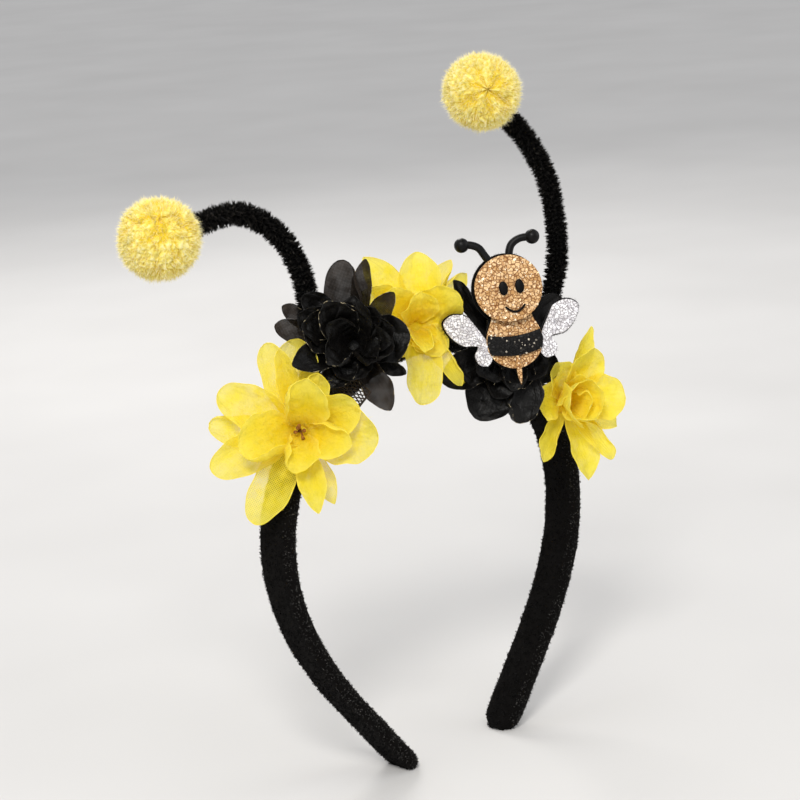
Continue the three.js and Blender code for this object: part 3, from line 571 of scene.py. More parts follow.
class Look:
    """A material while its nodes are put together."""

    def __init__(self, name, **surface):
        self.material = bpy.data.materials.new(name)
        self.material.use_nodes = True
        self.tree = self.material.node_tree
        self.surface = self.tree.nodes["Principled BSDF"]
        self.output = self.tree.nodes["Material Output"]
        for title, value in surface.items():
            self.surface.inputs[title.replace("_", " ")].default_value = value

    def add(self, kind, inputs=(), **settings):
        node = self.tree.nodes.new(kind)
        for title, value in settings.items():
            setattr(node, title, value)
        for title, value in dict(inputs).items():
            if isinstance(value, bpy.types.NodeSocket):
                self.tree.links.new(value, node.inputs[title])
            else:
                node.inputs[title].default_value = value
        return node

    def put(self, title, value):
        self.tree.links.new(value, self.surface.inputs[title])

    def place(self):
        return self.add("ShaderNodeTexCoord").outputs["Object"]

    def map_of(self, name):
        """The two numbers of a texture map, such as how far along and how far across."""
        vector = self.add("ShaderNodeUVMap", uv_map=name).outputs[0]
        split = self.add("ShaderNodeSeparateXYZ", {0: vector})
        return split.outputs[0], split.outputs[1], vector

    def noise(self, size, detail=3, vector=None, roughness=0.55):
        """Noise with bumps of about that size in millimetres."""
        vector = vector or self.place()
        inputs = {"Vector": vector, "Scale": 1 / (size * MM), "Detail": detail, "Roughness": roughness}
        return self.add("ShaderNodeTexNoise", inputs).outputs[0]

    def sum(self, operation, a, b=0.0, clamp=False):
        return self.add("ShaderNodeMath", {0: a, 1: b}, operation=operation, use_clamp=clamp).outputs[0]

    def ramp(self, factor, *stops):
        node = self.add("ShaderNodeValToRGB", {0: factor})
        band = node.color_ramp
        band.elements[0].position, band.elements[1].position = stops[0][0], stops[-1][0]
        band.elements[0].color, band.elements[1].color = (*stops[0][1], 1), (*stops[-1][1], 1)
        for position, colour in stops[1:-1]:
            band.elements.new(position).color = (*colour, 1)
        return node.outputs[0]

    def span(self, value, low_in, high_in, low_out, high_out):
        """The value with a range of it stretched to another range, and held at its ends."""
        inputs = {0: value, 1: low_in, 2: high_in, 3: low_out, 4: high_out}
        return self.add("ShaderNodeMapRange", inputs).outputs[0]

    def mix(self, factor, a, b, blend="MIX"):
        inputs = {0: factor, 6: a, 7: b}
        return self.add("ShaderNodeMix", inputs, data_type="RGBA", blend_type=blend).outputs[2]

    def bump(self, height, depth, strength=1.0, normal=None):
        inputs = {"Height": height, "Distance": depth * MM, "Strength": strength}
        if normal is not None:
            inputs["Normal"] = normal
        return self.add("ShaderNodeBump", inputs).outputs[0]

    def stripes(self, vector, scale, direction):
        """Soft bands across a direction, like the threads of a weave."""
        inputs = {"Vector": vector, "Scale": scale, "Distortion": 0.5, "Detail": 1.0, "Detail Scale": 0.6}
        return self.add("ShaderNodeTexWave", inputs, wave_type="BANDS", bands_direction=direction).outputs[1]

    def blend(self, share, first, second):
        return self.add("ShaderNodeMixShader", {0: share, 1: first, 2: second}).outputs[0]

    def finish(self, shader=None):
        if shader is not None:
            self.tree.links.new(shader, self.output.inputs["Surface"])
        return self.material


def grey(value):
    return (value, value, value)


def velvet_look():
    look = Look("velvet", Roughness=0.92, Sheen_Weight=0.05, Sheen_Roughness=0.4, Specular_IOR_Level=0.06)
    look.surface.inputs["Sheen Tint"].default_value = (0.5, 0.46, 0.42, 1)
    patches = look.noise(7, 2)
    pile = look.noise(0.35, 4)
    dark = look.ramp(pile, (0.3, (0.0008, 0.0007, 0.0007)), (0.75, (0.006, 0.005, 0.0045)))
    look.put("Base Color", look.mix(patches, dark, (0.003, 0.0026, 0.0024, 1)))
    look.put("Roughness", look.span(patches, 0.3, 0.7, 0.85, 1))
    look.put("Normal", look.bump(pile, 0.35, 0.7))
    return look.finish()


# How bright the darkest, the middle and the brightest fibres of a pile are. With GLINT_SHADES a few fibres
# are far brighter than the rest: painted glints.
PLAIN_SHADES = [(0, grey(0.7)), (0.5, grey(0.9)), (1, grey(1))]
GLINT_SHADES = [(0, grey(0.08)), (0.8, grey(0.2)), (0.98, grey(1))]


def pile_look(name, colours, clear, sheen, specular, shades=PLAIN_SHADES):
    """Pile of loose fibres: darker at the roots, which is painted shade, paler at the tips, which is painted
    highlight, each fibre with a shade of its own.
    """
    root, middle, tip = colours
    look = Look(name, Roughness=0.7, Sheen_Weight=sheen, Sheen_Roughness=0.4, Specular_IOR_Level=specular)
    along, tone, _ = look.map_of("shape")
    colour = look.ramp(along, (0, root), (0.55, middle), (1, tip))
    shade = look.ramp(tone, *shades)
    colour = look.mix(1.0, colour, shade, "MULTIPLY")
    look.put("Base Color", colour)
    look.put("Roughness", look.span(tone, 0, 1, 0.55, 0.85))
    look.put("Normal", look.bump(look.noise(0.3, 2), 0.05, 0.5))
    if not clear:
        return look.finish()
    through = look.add("ShaderNodeBsdfTranslucent", {"Color": colour}).outputs[0]
    return look.finish(look.blend(clear, look.surface.outputs[0], through))


def organza_look(name, colours, cover, patchy, through, gloss, sheen_tint, weave_scale=WEAVE_SCALE):
    """Sheer crisp cloth: a fine weave, crumples, a deeper heart, which is painted shade, and paler rims,
    partly the sealed edge and partly painted highlight.

    cover is how much of the light the cloth stops between its threads and at them.
    """
    roughness, specular, sheen = gloss
    look = Look(name, Sheen_Weight=sheen, Sheen_Roughness=0.35, Specular_IOR_Level=specular)
    look.surface.inputs["Sheen Tint"].default_value = (*sheen_tint, 1)
    along, across, place = look.map_of("shape")
    cloth = look.map_of("tone")[2]
    off_middle = look.sum("ABSOLUTE", look.span(across, 0, 1, -1, 1))
    edge = look.sum("POWER", off_middle, 7.0)
    tip = look.sum("POWER", along, 9.0)
    rim = look.sum("MAXIMUM", edge, tip, clamp=True)
    crumple = look.noise(3.2, 4, roughness=0.6)
    heart, middle, outer, pale = colours
    body = look.ramp(along, (0, heart), (0.32, middle), (0.9, outer))
    body = look.mix(look.span(crumple, 0.4, 0.75, 0, 0.3), body, (*pale, 1))
    colour = look.mix(look.sum("MULTIPLY", rim, 0.4), body, (*pale, 1))
    warp, weft = (look.stripes(cloth, weave_scale, direction) for direction in "XY")
    threads = look.sum("MAXIMUM", warp, weft)
    look.put("Base Color", colour)
    look.put("Roughness", look.span(crumple, 0.3, 0.7, roughness - 0.1, roughness + 0.15))
    stretched = look.add("ShaderNodeMapping", {"Vector": place, "Scale": (2.2, 11, 1)}).outputs[0]
    creases = look.add("ShaderNodeTexNoise", {"Vector": stretched, "Scale": 1.0, "Detail": 3.0}).outputs[0]
    normal = look.bump(crumple, 1.1, 0.8)
    normal = look.bump(creases, 0.9, 0.55, normal)
    look.put("Normal", look.bump(threads, 0.06, 0.5, normal))
    glow = look.add("ShaderNodeBsdfTranslucent", {"Color": colour, "Normal": normal}).outputs[0]
    body = look.blend(through, look.surface.outputs[0], glow)
    solid = look.span(threads, 0.2, 0.9, *cover)
    solid = look.sum("ADD", solid, look.span(look.noise(6, 2), 0.35, 0.65, -patchy, patchy), clamp=True)
    solid = look.sum("MAXIMUM", solid, look.sum("MULTIPLY", rim, 1.1), clamp=True)
    solid = look.sum("MAXIMUM", solid, look.span(along, 0.1, 0.35, 1, 0), clamp=True)
    return look.finish(look.blend(solid, look.add("ShaderNodeBsdfTransparent").outputs[0], body))


def marked_look(name, marks, stops, roughness, relief, **surface):
    """A look whose colour and roughness follow one noise, and its relief another or the same one.

    marks gives the noise's size and detail. relief gives those of its own noise, a depth and a strength.
    """
    look = Look(name, **surface)
    mark = look.noise(*marks)
    look.put("Base Color", look.ramp(mark, *stops))
    look.put("Roughness", look.span(mark, 0.3, 0.7, *roughness))
    grain, depth, strength = relief
    look.put("Normal", look.bump(look.noise(*grain), depth, strength))
    return look.finish()


def rim_look(name, dark, light, specular):
    """The sealed edge of a cut petal: a thin bead, with light patches along it that are painted glints."""
    stops = [(0.53, dark), (0.65, light)]
    relief = ((0.4, 2), 0.08, 0.6)
    surface = {"Specular_IOR_Level": specular, "Sheen_Weight": 0.1}
    return marked_look(name, (1.4, 3), stops, (0.45, 0.65), relief, **surface)


def thread_look(name, dark, light, roughness):
    stops = [(0.35, dark), (0.65, light)]
    relief = ((0.25, 2), 0.06, 0.7)
    worn = (roughness - 0.1, roughness + 0.1)
    return marked_look(name, (0.9, 4), stops, worn, relief, Sheen_Weight=0.05, Specular_IOR_Level=0.2)


def felt_look():
    stops = [(0.3, grey(0.001)), (0.7, (0.006, 0.0055, 0.0055))]
    fluff = (0.45, 5, None, 0.7)
    surface = {"Sheen_Weight": 0.05, "Sheen_Roughness": 0.5, "Specular_IOR_Level": 0.06}
    return marked_look("black_felt", fluff, stops, (0.85, 1), (fluff, 0.3, 0.8), **surface)


def rubber_look():
    stops = [(0.3, grey(0.0012)), (0.75, (0.005, 0.0045, 0.0045))]
    relief = ((0.6, 3), 0.04, 0.4)
    return marked_look("black_rubber", (2.5, 3), stops, (0.32, 0.48), relief, Specular_IOR_Level=0.16)


def ink_look():
    stops = [(0.3, grey(0.0008)), (0.75, (0.004, 0.0035, 0.0035))]
    relief = ((0.8, 3), 0.05, 0.4)
    return marked_look("black_ink", (0.8, 3), stops, (0.4, 0.55), relief, Specular_IOR_Level=0.1)


def flake_look(name, stops, metal, roughness):
    """Glitter flakes, each of its own shade."""
    look = Look(name, Metallic=metal, Roughness=roughness, Specular_IOR_Level=0.3)
    tone, _, _ = look.map_of("tone")
    look.put("Base Color", look.ramp(tone, *stops))
    look.put("Roughness", look.span(look.noise(0.5, 2), 0.3, 0.7, roughness - 0.08, roughness + 0.15))
    look.put("Normal", look.bump(look.noise(0.15, 1), 0.02, 0.4))
    return look.finish()


def foam_look(name, colours, grain):
    """Coarse glitter pressed into foam sheet: cells of their own shade with darker gaps between them."""
    gap, dark, light = colours
    look = Look(name, Roughness=0.55, Specular_IOR_Level=0.2)
    inputs = {"Vector": look.place(), "Scale": 1 / (grain * MM)}
    cells = look.add("ShaderNodeTexVoronoi", inputs)
    edge = look.add("ShaderNodeTexVoronoi", inputs, feature="DISTANCE_TO_EDGE").outputs["Distance"]
    tone = look.add("ShaderNodeSeparateColor", {0: cells.outputs["Color"]}).outputs[0]
    raised = look.span(edge, 0.03, 0.13, 0, 1)
    look.put("Base Color", look.mix(raised, (*gap, 1), look.ramp(tone, (0.1, dark), (0.9, light))))
    look.put("Roughness", look.span(tone, 0, 1, 0.4, 0.7))
    look.put("Normal", look.bump(raised, 0.15, 0.9))
    return look.finish()


# Cloth colours: heart, middle, outer part, and the pale colour of rims and patches. The deeper heart is
# painted shade; the paler rims are partly the sealed edge and partly painted highlight.
YELLOW = ((0.93, 0.71, 0.01), (0.93, 0.75, 0.02), (0.93, 0.79, 0.055), (0.98, 0.9, 0.24))
YELLOW_SHEER = ((0.86, 0.62, 0.003), (0.88, 0.70, 0.02), (0.89, 0.75, 0.055), (0.94, 0.85, 0.2))
YELLOW_THIN_GLOSS = (0.5, 0.25, 0.12)
BLACK = (grey(0.0006), (0.0012, 0.0011, 0.001), (0.002, 0.0018, 0.0016), (0.006, 0.005, 0.0042))
BLACK_SHEER = (
    (0.0015, 0.0012, 0.001),
    (0.004, 0.0028, 0.002),
    (0.009, 0.0055, 0.003),
    (0.034, 0.02, 0.011),
)
LIGHT_SHEEN = (1, 0.97, 0.75)
DARK_SHEEN = (0.6, 0.5, 0.4)

# Colours of each kind of pile at the root, in the middle and at the tip: darker roots are painted shade,
# paler tips painted highlight. VELVET_GLINT colours the band's edge pile with painted highlight.
VELVET_PILE = (grey(0.0006), (0.0012, 0.0011, 0.001), (0.004, 0.0035, 0.003))
VELVET_GLINT = (grey(0.0006), (0.09, 0.085, 0.08), (0.4, 0.38, 0.35))
CHENILLE_PILE = (grey(0.0006), (0.006, 0.0055, 0.005), (0.09, 0.08, 0.07))
YARN = ((0.85, 0.62, 0.04), (0.95, 0.83, 0.23), (1.0, 0.94, 0.6))
YARN_FUZZ = ((1.0, 0.88, 0.45), (1.0, 0.93, 0.6), (1.0, 0.96, 0.78))

LOOKS = {
    "velvet": velvet_look(),
    "velvet_pile": pile_look("velvet_pile", VELVET_PILE, 0, 0.02, 0.12),
    # Pile of the band's edge strips: paler colours and a few far brighter fibres, painted highlight and
    # painted glints.
    "velvet_edge_highlight": pile_look("velvet_edge_highlight", VELVET_GLINT, 0, 0.04, 0.2, GLINT_SHADES),
    "chenille": pile_look("chenille", CHENILLE_PILE, 0, 0.02, 0.12, GLINT_SHADES),
    "yarn": pile_look("pompom_yarn", YARN, 0.12, 0.15, 0.1),
    "yarn_fuzz": pile_look("pompom_fuzz", YARN_FUZZ, 0.3, 0.1, 0.1),
    "yellow": organza_look(
        "yellow_organza", YELLOW, (0.92, 1.0), 0.05, 0.48, (0.55, 0.25, 0.12), LIGHT_SHEEN
    ),
    "yellow_sheer": organza_look(
        "yellow_sheer", YELLOW_SHEER, (0.8, 0.96), 0.07, 0.45, YELLOW_THIN_GLOSS, LIGHT_SHEEN
    ),
    "yellow_lace": organza_look(
        "yellow_lace", YELLOW_SHEER, (0.42, 1.0), 0.14, 0.4, YELLOW_THIN_GLOSS, LIGHT_SHEEN, LACE_SCALE
    ),
    "yellow_rim": rim_look("yellow_rim", (0.90, 0.72, 0.03), (0.95, 0.84, 0.18), 0.25),
    "black": organza_look("black_organza", BLACK, (1.0, 1.0), 0.0, 0.02, (0.42, 0.2, 0.03), DARK_SHEEN),
    "black_sheer": organza_look(
        "black_sheer", BLACK_SHEER, (0.93, 0.985), 0.03, 0.04, (0.55, 0.15, 0.03), DARK_SHEEN
    ),
    "black_rim": rim_look("black_rim", grey(0.002), (0.42, 0.35, 0.22), 0.2),
    "net": thread_look("black_net", (0.004, 0.0025, 0.0015), (0.032, 0.019, 0.009), 0.5),
    "stamen": thread_look("stamen_thread", (0.12, 0.03, 0.004), (0.45, 0.20, 0.03), 0.7),
    "felt": felt_look(),
    "rubber": rubber_look(),
    "ink": ink_look(),
}

# Shades of glitter flakes, and colours of the foam under them: its gaps, its darkest and its palest cells.
GOLD_STOPS = [
    (0, (0.20, 0.085, 0.025)),
    (0.2, (0.48, 0.25, 0.09)),
    (0.45, (0.72, 0.45, 0.21)),
    (0.8, (0.86, 0.62, 0.37)),
    (1, (1.0, 0.88, 0.68)),
]
SILVER_STOPS = [
    (0, (0.30, 0.29, 0.31)),
    (0.15, (0.58, 0.56, 0.60)),
    (0.5, (0.83, 0.82, 0.85)),
    (1, (1.0, 1.0, 1.0)),
]
# Black flakes: the few palest ones are painted glints.
STRIPE_STOPS = [
    (0, grey(0.0008)),
    (0.74, (0.004, 0.0036, 0.0034)),
    (0.86, (0.03, 0.026, 0.022)),
    (1, (0.7, 0.62, 0.5)),
]
GOLD_FOAM = ((0.20, 0.075, 0.02), (0.50, 0.27, 0.10), (0.82, 0.55, 0.29))
SILVER_FOAM = ((0.30, 0.28, 0.29), (0.60, 0.58, 0.60), (0.92, 0.90, 0.91))
STRIPE_FOAM = (grey(0.0004), (0.0015, 0.0014, 0.0013), (0.006, 0.005, 0.0045))
LOOKS["gold"] = foam_look("gold_glitter", GOLD_FOAM, 1.25)
LOOKS["gold_flakes"] = flake_look("gold_flakes", GOLD_STOPS, 0.2, 0.4)
LOOKS["silver"] = foam_look("silver_glitter", SILVER_FOAM, 1.15)
LOOKS["silver_flakes"] = flake_look("silver_flakes", SILVER_STOPS, 0.2, 0.35)
LOOKS["stripe"] = foam_look("black_glitter", STRIPE_FOAM, 1.2)
LOOKS["stripe_flakes"] = flake_look("black_flakes", STRIPE_STOPS, 0.1, 0.5)


def band_line():
    slope = np.tan(radians(BAND_LEAN))
    leg = [
        (lerp(BAND_FOOT_HALF_SPAN, BAND_HALF_SPAN, out), BAND_WIDEST_HEIGHT * up)
        for up, out in LEG_LINE
    ]
    flat = [(-x, z) for x, z in leg]
    for angle in range(-90, 91, ARCH_STEP):
        x = BAND_HALF_SPAN * np.sin(radians(angle))
        flat.append((x, BAND_WIDEST_HEIGHT + BAND_ARCH_RISE * np.cos(radians(angle))))
    flat += leg[::-1]
    return smooth_line([(x, BAND_BACK + z * slope, z) for x, z in flat])


BAND_LINE = evenly(band_line(), BAND_STATIONS)
BAND_ACROSS = unit([0, 1, -np.tan(radians(BAND_LEAN))])
BAND_ALONG = unit(np.gradient(BAND_LINE, axis=0))
BAND_OUT = unit(np.cross(BAND_ALONG, BAND_ACROSS))


def rounded_section(width, thickness):
    """Points of a rounded rectangle, with more of them on its long sides."""
    radius = min(width, thickness) * 0.42
    corners = []
    for start, sx, sy in ((0, 1, 1), (90, -1, 1), (180, -1, -1), (270, 1, -1)):
        for angle in np.linspace(start + 4, start + 86, 5):
            corners.append(
                (
                    sx * (width / 2 - radius) + radius * np.cos(radians(angle)),
                    sy * (thickness / 2 - radius) + radius * np.sin(radians(angle)),
                )
            )
        if start in (0, 180):
            last = corners[-1]
            for share in (0.25, 0.5, 0.75):
                corners.append((lerp(last[0], -last[0], share), last[1]))
    return np.array(corners)


def make_band():
    rng = np.random.default_rng(11)
    rise = np.clip(BAND_LINE[:, 2] / FOOT_TIP_HEIGHT, 0, 1)
    share = lerp(FOOT_TIP_SHARE, 1, np.sqrt(1 - (1 - rise) ** 2))
    rings = []
    for i, centre in enumerate(BAND_LINE):
        section = rounded_section(BAND_WIDTH * share[i], BAND_THICKNESS)
        rings.append(centre + section[:, :1] * BAND_ACROSS + section[:, 1:] * BAND_OUT[i])
    points = np.array(rings)
    columns = points.shape[1]
    middle = BAND_LINE[:, None]
    flat = points.reshape(-1, 3)
    swell = 1 + 0.018 * wobble(flat, 9, 3) + 0.012 * wobble(flat, 2.5, 4)
    points = middle + (points - middle) * swell.reshape(points.shape[:2])[..., None]
    keep = BAND_LINE[:, 2] > BAND_CUT_HEIGHT
    points = points[keep]
    rows = len(points)
    points[..., 2] = np.maximum(points[..., 2], 0.02)
    shape = Shape()
    faces = grid_faces(rows, columns, closed=True)
    shape.add(points, [faces[:, ::-1], *end_faces(rows, columns, flipped=True)])
    places, normals = scatter(points.reshape(-1, 3), faces, VELVET_TUFTS, rng)
    gaps = np.abs(places[:, None, ::2] - BAND_LINE[None, ::2, ::2]).sum(axis=2)
    middles = BAND_LINE[gaps.argmin(axis=1) * 2]
    inward = ((places - middles) * normals).sum(axis=1) < 0
    normals[inward] *= -1
    ways = unit(normals + jitter(rng, 0.35, *places.shape))
    tips = places + ways * (VELVET_LENGTH * rng.uniform(0.55, 1.1, len(places)))[:, None]
    roots = np.repeat(places, VELVET_TUFT_FIBRES, axis=0)
    sunk = np.repeat(normals, VELVET_TUFT_FIBRES, axis=0) * 0.25
    roots = roots + jitter(rng, 0.32, *roots.shape) - sunk
    run = np.repeat(tips, VELVET_TUFT_FIBRES, axis=0) + jitter(rng, 0.12, *roots.shape) - roots
    bends = jitter(rng, 0.08, *roots.shape)
    # Pile on the strips along the band's edges is paler, with a few far brighter fibres: painted highlight
    # and painted glints.
    off_middle = np.abs((places - middles) @ BAND_ACROSS)
    on_highlight_edge = np.repeat(off_middle > BAND_WIDTH / 2 - VELVET_HIGHLIGHT_EDGE, VELVET_TUFT_FIBRES)
    lengths = np.linalg.norm(run, axis=1)
    for use, chosen in ((1, ~on_highlight_edge), (2, on_highlight_edge)):
        starts, ways = roots[chosen], unit(run[chosen])
        fibres(shape, starts, ways, lengths[chosen], VELVET_WIDTH, bends[chosen], rng, use=use, joints=1)
    materials = [LOOKS["velvet"], LOOKS["velvet_pile"], LOOKS["velvet_edge_highlight"]]
    shape.piece("velvet_band", materials, "headband")


def make_stem(side, line, seed):
    rng = np.random.default_rng(seed)
    line = evenly(smooth_line(line), STEM_STATIONS)
    length = line_length(line)
    tangents, a, b = frames_along(line)
    shape = Shape()
    tube(shape, line, STEM_CORE_RADIUS, 8)
    turns = length / STEM_RIB_PITCH
    tufts = int(turns * STEM_TUFTS_PER_TURN)
    turn = 2 * math.pi * (np.arange(tufts) + rng.uniform(-0.3, 0.3, tufts)) / STEM_TUFTS_PER_TURN
    share = np.clip(turn / (2 * math.pi * turns) + jitter(rng, 0.12 / turns, tufts), 0, 1)
    at = share * (len(line) - 1)
    i = np.minimum(at.astype(int), len(line) - 2)
    middle = lerp(line[i], line[i + 1], (at - i)[:, None])
    out = unit(a[i] * np.cos(turn)[:, None] + b[i] * np.sin(turn)[:, None] + tangents[i] * 0.12)
    out = unit(out + jitter(rng, 0.08, *out.shape))
    swell = 1 + 0.05 * wobble(middle, 6, seed + 1) + jitter(rng, 0.042, tufts)
    tips = middle + out * (STEM_RADIUS * np.clip(swell, 0.85, 1.08))[:, None]
    which = np.repeat(np.arange(tufts), STEM_TUFT_FIBRES)
    count = len(which)
    roots = middle[which] + out[which] * 1.2 + jitter(rng, 0.55, count, 3)
    run = tips[which] + jitter(rng, 0.2, count, 3) - roots
    # Tones near the top of the range become far brighter fibres through GLINT_SHADES: painted glints.
    tones = np.clip(rng.normal(0.5, 0.25, tufts)[which] + rng.normal(0, 0.12, count), 0, 1)
    bends = jitter(rng, 0.12, count, 3)
    lengths = np.linalg.norm(run, axis=1)
    fibres(shape, roots, unit(run), lengths, STEM_FIBRE_WIDTH, bends, rng, tones=tones)
    shape.piece("chenille_" + side, [LOOKS["chenille"]], "antenna_stem_" + side)


def sphere_directions(count):
    i = np.arange(count)
    z = 1 - (2 * i + 1) / count
    flat = np.sqrt(1 - z * z)
    turn = i * math.pi * (3 - math.sqrt(5))
    return np.stack([flat * np.cos(turn), flat * np.sin(turn), z], axis=1)


def ball(shape, centre, radius, rows, columns, rough, seed):
    """A ball of rows by columns, with a roughened surface."""
    polar = np.linspace(0.001, math.pi - 0.001, rows)
    turn = around(columns)
    ways = np.stack(
        [
            np.sin(polar)[:, None] * np.cos(turn),
            np.sin(polar)[:, None] * np.sin(turn),
            np.repeat(np.cos(polar)[:, None], columns, axis=1),
        ],
        axis=2,
    )
    swell = 1 + rough * wobble(ways.reshape(-1, 3), 0.5, seed).reshape(rows, columns)
    points = np.asarray(centre) + ways * (radius * swell)[..., None]
    shape.add(points, [grid_faces(rows, columns, closed=True)[:, ::-1]], tone=MIDDLE_TONE)


def yarn_height(ways, tufts, polar, turn, creases, seed):
    """Height of the yarn over its lowest creases, and the number of the tuft each point is on."""
    rng = np.random.default_rng(seed + 50)
    places = ways * POMPOM_RADIUS
    bent = unit(ways + 0.04 * np.stack([wobble(places, 3, seed + k) for k in range(3)], axis=1))
    apart = bent @ tufts.T
    nearest = apart.argmax(axis=1)
    two = np.arccos(np.clip(-np.partition(-apart, 1, axis=1)[:, :2], -1, 1))
    tuft = np.clip(np.abs(two[:, 1] - two[:, 0]) / 0.12, 0, 1) ** 0.7
    turn = turn + 0.3 * wobble(places, 9, seed + 4)
    crease = np.zeros(len(ways))
    for number in range(creases):
        middle = 2 * math.pi * (number + rng.uniform(-0.35, 0.35)) / creases
        width, reach, depth = rng.uniform(0.16, 0.36), rng.uniform(0.35, 1.1), rng.uniform(0.3, 1.0)
        off = np.angle(np.exp(1j * (turn - middle)))
        crease = np.maximum(crease, depth * np.exp(-((off / width) ** 2) - (polar / reach) ** 4))
    spokes = np.stack([np.cos(turn) * 13, np.sin(turn) * 13, polar * 3], axis=1)
    streak = POMPOM_STREAK_DEPTH * wobble(spokes, 1.3, seed + 5) * np.sin(polar)
    tuft = tuft * (1 - 0.6 * np.exp(-((polar / 0.6) ** 2)))
    height = POMPOM_TUFT_DEPTH * tuft - POMPOM_CREASE_DEPTH * crease
    swell = 0.4 * wobble(places, 5.5, seed + 7)
    return height + streak + swell + 0.25 * wobble(places, 1.4, seed + 6), nearest


def make_pompom(side, seed):
    """A ball of clipped yarn: tufts, creases that meet at a parting, loose ends and pale fuzz over them."""
    rng = np.random.default_rng(seed)
    centre = np.array(POMPOMS[side]["centre"], float)
    right, up, front = axes_of(*POMPOMS[side]["parting"])
    rows, columns = POMPOM_GRID
    polar = np.repeat(np.linspace(0.004, math.pi - 0.004, rows), columns)
    turn = np.tile(around(columns), rows)
    flat = np.cos(turn)[:, None] * right + np.sin(turn)[:, None] * up
    ways = front * np.cos(polar)[:, None] + flat * np.sin(polar)[:, None]
    tufts = unit(sphere_directions(POMPOM_TUFTS) + jitter(rng, 0.05, POMPOM_TUFTS, 3))
    height, nearest = yarn_height(ways, tufts, polar, turn, POMPOMS[side]["creases"], seed)
    points = centre + ways * (POMPOM_BODY_RADIUS + height * 0.8)[:, None]
    tones = np.clip(rng.normal(0.6, 0.2, POMPOM_TUFTS), 0, 1)
    # The yarn's colour follows its height: deeper yellow in the creases is painted shade, paler yellow on
    # the tufts is painted highlight.
    along = np.clip(height / POMPOM_TUFT_DEPTH, 0, 1)
    shape = Shape()
    places = np.stack([along * 0.75, tones[nearest]], axis=1)
    shape.add(points, [grid_faces(rows, columns, closed=True)], places, places)

    chosen = rng.choice(len(ways), POMPOM_ENDS, p=np.sin(polar) / np.sin(polar).sum())
    outward = ways[chosen]
    down = unit(outward * np.cos(polar[chosen])[:, None] - front)
    lean = unit(outward * 0.4 + down * 0.75 + jitter(rng, 0.36, *outward.shape))
    roots = points[chosen] - outward * 0.3
    bends = jitter(rng, 0.22, *outward.shape)
    shades = np.clip(tones[nearest[chosen]] + rng.normal(0, 0.2, POMPOM_ENDS), 0, 1)
    lengths = rng.uniform(*POMPOM_END_LENGTHS, POMPOM_ENDS)
    fibres(shape, roots, lean, lengths, POMPOM_END_WIDTH, bends, rng, tones=shades)

    chosen = rng.choice(len(ways), POMPOM_FUZZ, p=np.sin(polar) / np.sin(polar).sum())
    hairs = unit(ways[chosen] + jitter(rng, 0.4, POMPOM_FUZZ, 3))
    bends = jitter(rng, 0.25, POMPOM_FUZZ, 3)
    lengths = rng.uniform(*POMPOM_FUZZ_LENGTHS, POMPOM_FUZZ)
    pale = np.ones(POMPOM_FUZZ)
    fibres(shape, points[chosen], hairs, lengths, POMPOM_FUZZ_WIDTH, bends, rng, use=1, tones=pale)
    materials = [LOOKS["yarn"], LOOKS["yarn_fuzz"]]
    shape.piece("yarn_pompom_" + side, materials, "pompom_" + side)


def petal_share(s, point):
    """Half width of a petal along it, as a share of its widest half. point makes the tip sharper."""
    near = lerp(PETAL_ROOT_SHARE, 1, np.sin(np.clip(s / 0.6, 0, 1) * math.pi / 2))
    far = np.maximum(0.0, 1 - ((s - 0.6) / 0.42) ** 2) ** (0.5 + 0.5 * point)
    return np.where(s < 0.6, near, far)


def bee_place(x, y, z):
    """Points of the bee's own frame as points of the table's frame."""
    x, y, z = (values[..., None] for values in np.broadcast_arrays(x, y, z))
    return np.array(BEE_HEAD_CENTRE) + x * BEE_RIGHT + y * BEE_UP + z * BEE_FRONT


def ellipse(x, y, width, height, count=84):
    turn = around(count)
    return np.stack([x + width / 2 * np.cos(turn), y + height / 2 * np.sin(turn)], axis=1)


def closed_line(points, count):
    """A smooth closed outline through points."""
    p = np.array(points, float)
    around = np.vstack([p[-2:], p, p[:3]])
    line = smooth_line(around, 16, power=0.0)
    return evenly(line[3 * 16 : -3 * 16 + 1 or None], count + 1)[:-1]


def body_outline(margin=0.0):
    left = [(-half - margin, -down - margin * 0.4) for down, half in BODY_LINE]
    right = [(half + margin, -down - margin * 0.4) for down, half in BODY_LINE]
    line = smooth_line(left + right[::-1], 6)
    return evenly(np.vstack([line, line[:1]]), 111)[:-1]


def wing_outline(side, margin=0.0):
    rows = np.array([(side * out, -down) for out, down in WING_LINE])
    away = unit(rows - rows.mean(axis=0))
    return closed_line(rows + away * margin, 96)


def inside(points, outline):
    """Whether flat points lie inside a closed outline."""
    x, y = points[:, 0], points[:, 1]
    result = np.zeros(len(points), bool)
    for (ax, ay), (bx, by) in zip(outline, np.roll(outline, -1, axis=0)):
        crosses = (ay > y) != (by > y)
        with np.errstate(divide="ignore", invalid="ignore"):
            at = ax + (y - ay) / (by - ay) * (bx - ax)
        result ^= crosses & (x < at)
    return result


BEE_OUTLINES = [
    ellipse(0, 0, 2 * HEAD_RADIUS + 1.6, 2 * HEAD_RADIUS + 1.6),
    body_outline(0.9),
    wing_outline(-1, 0.9),
    wing_outline(1, 0.9),
]


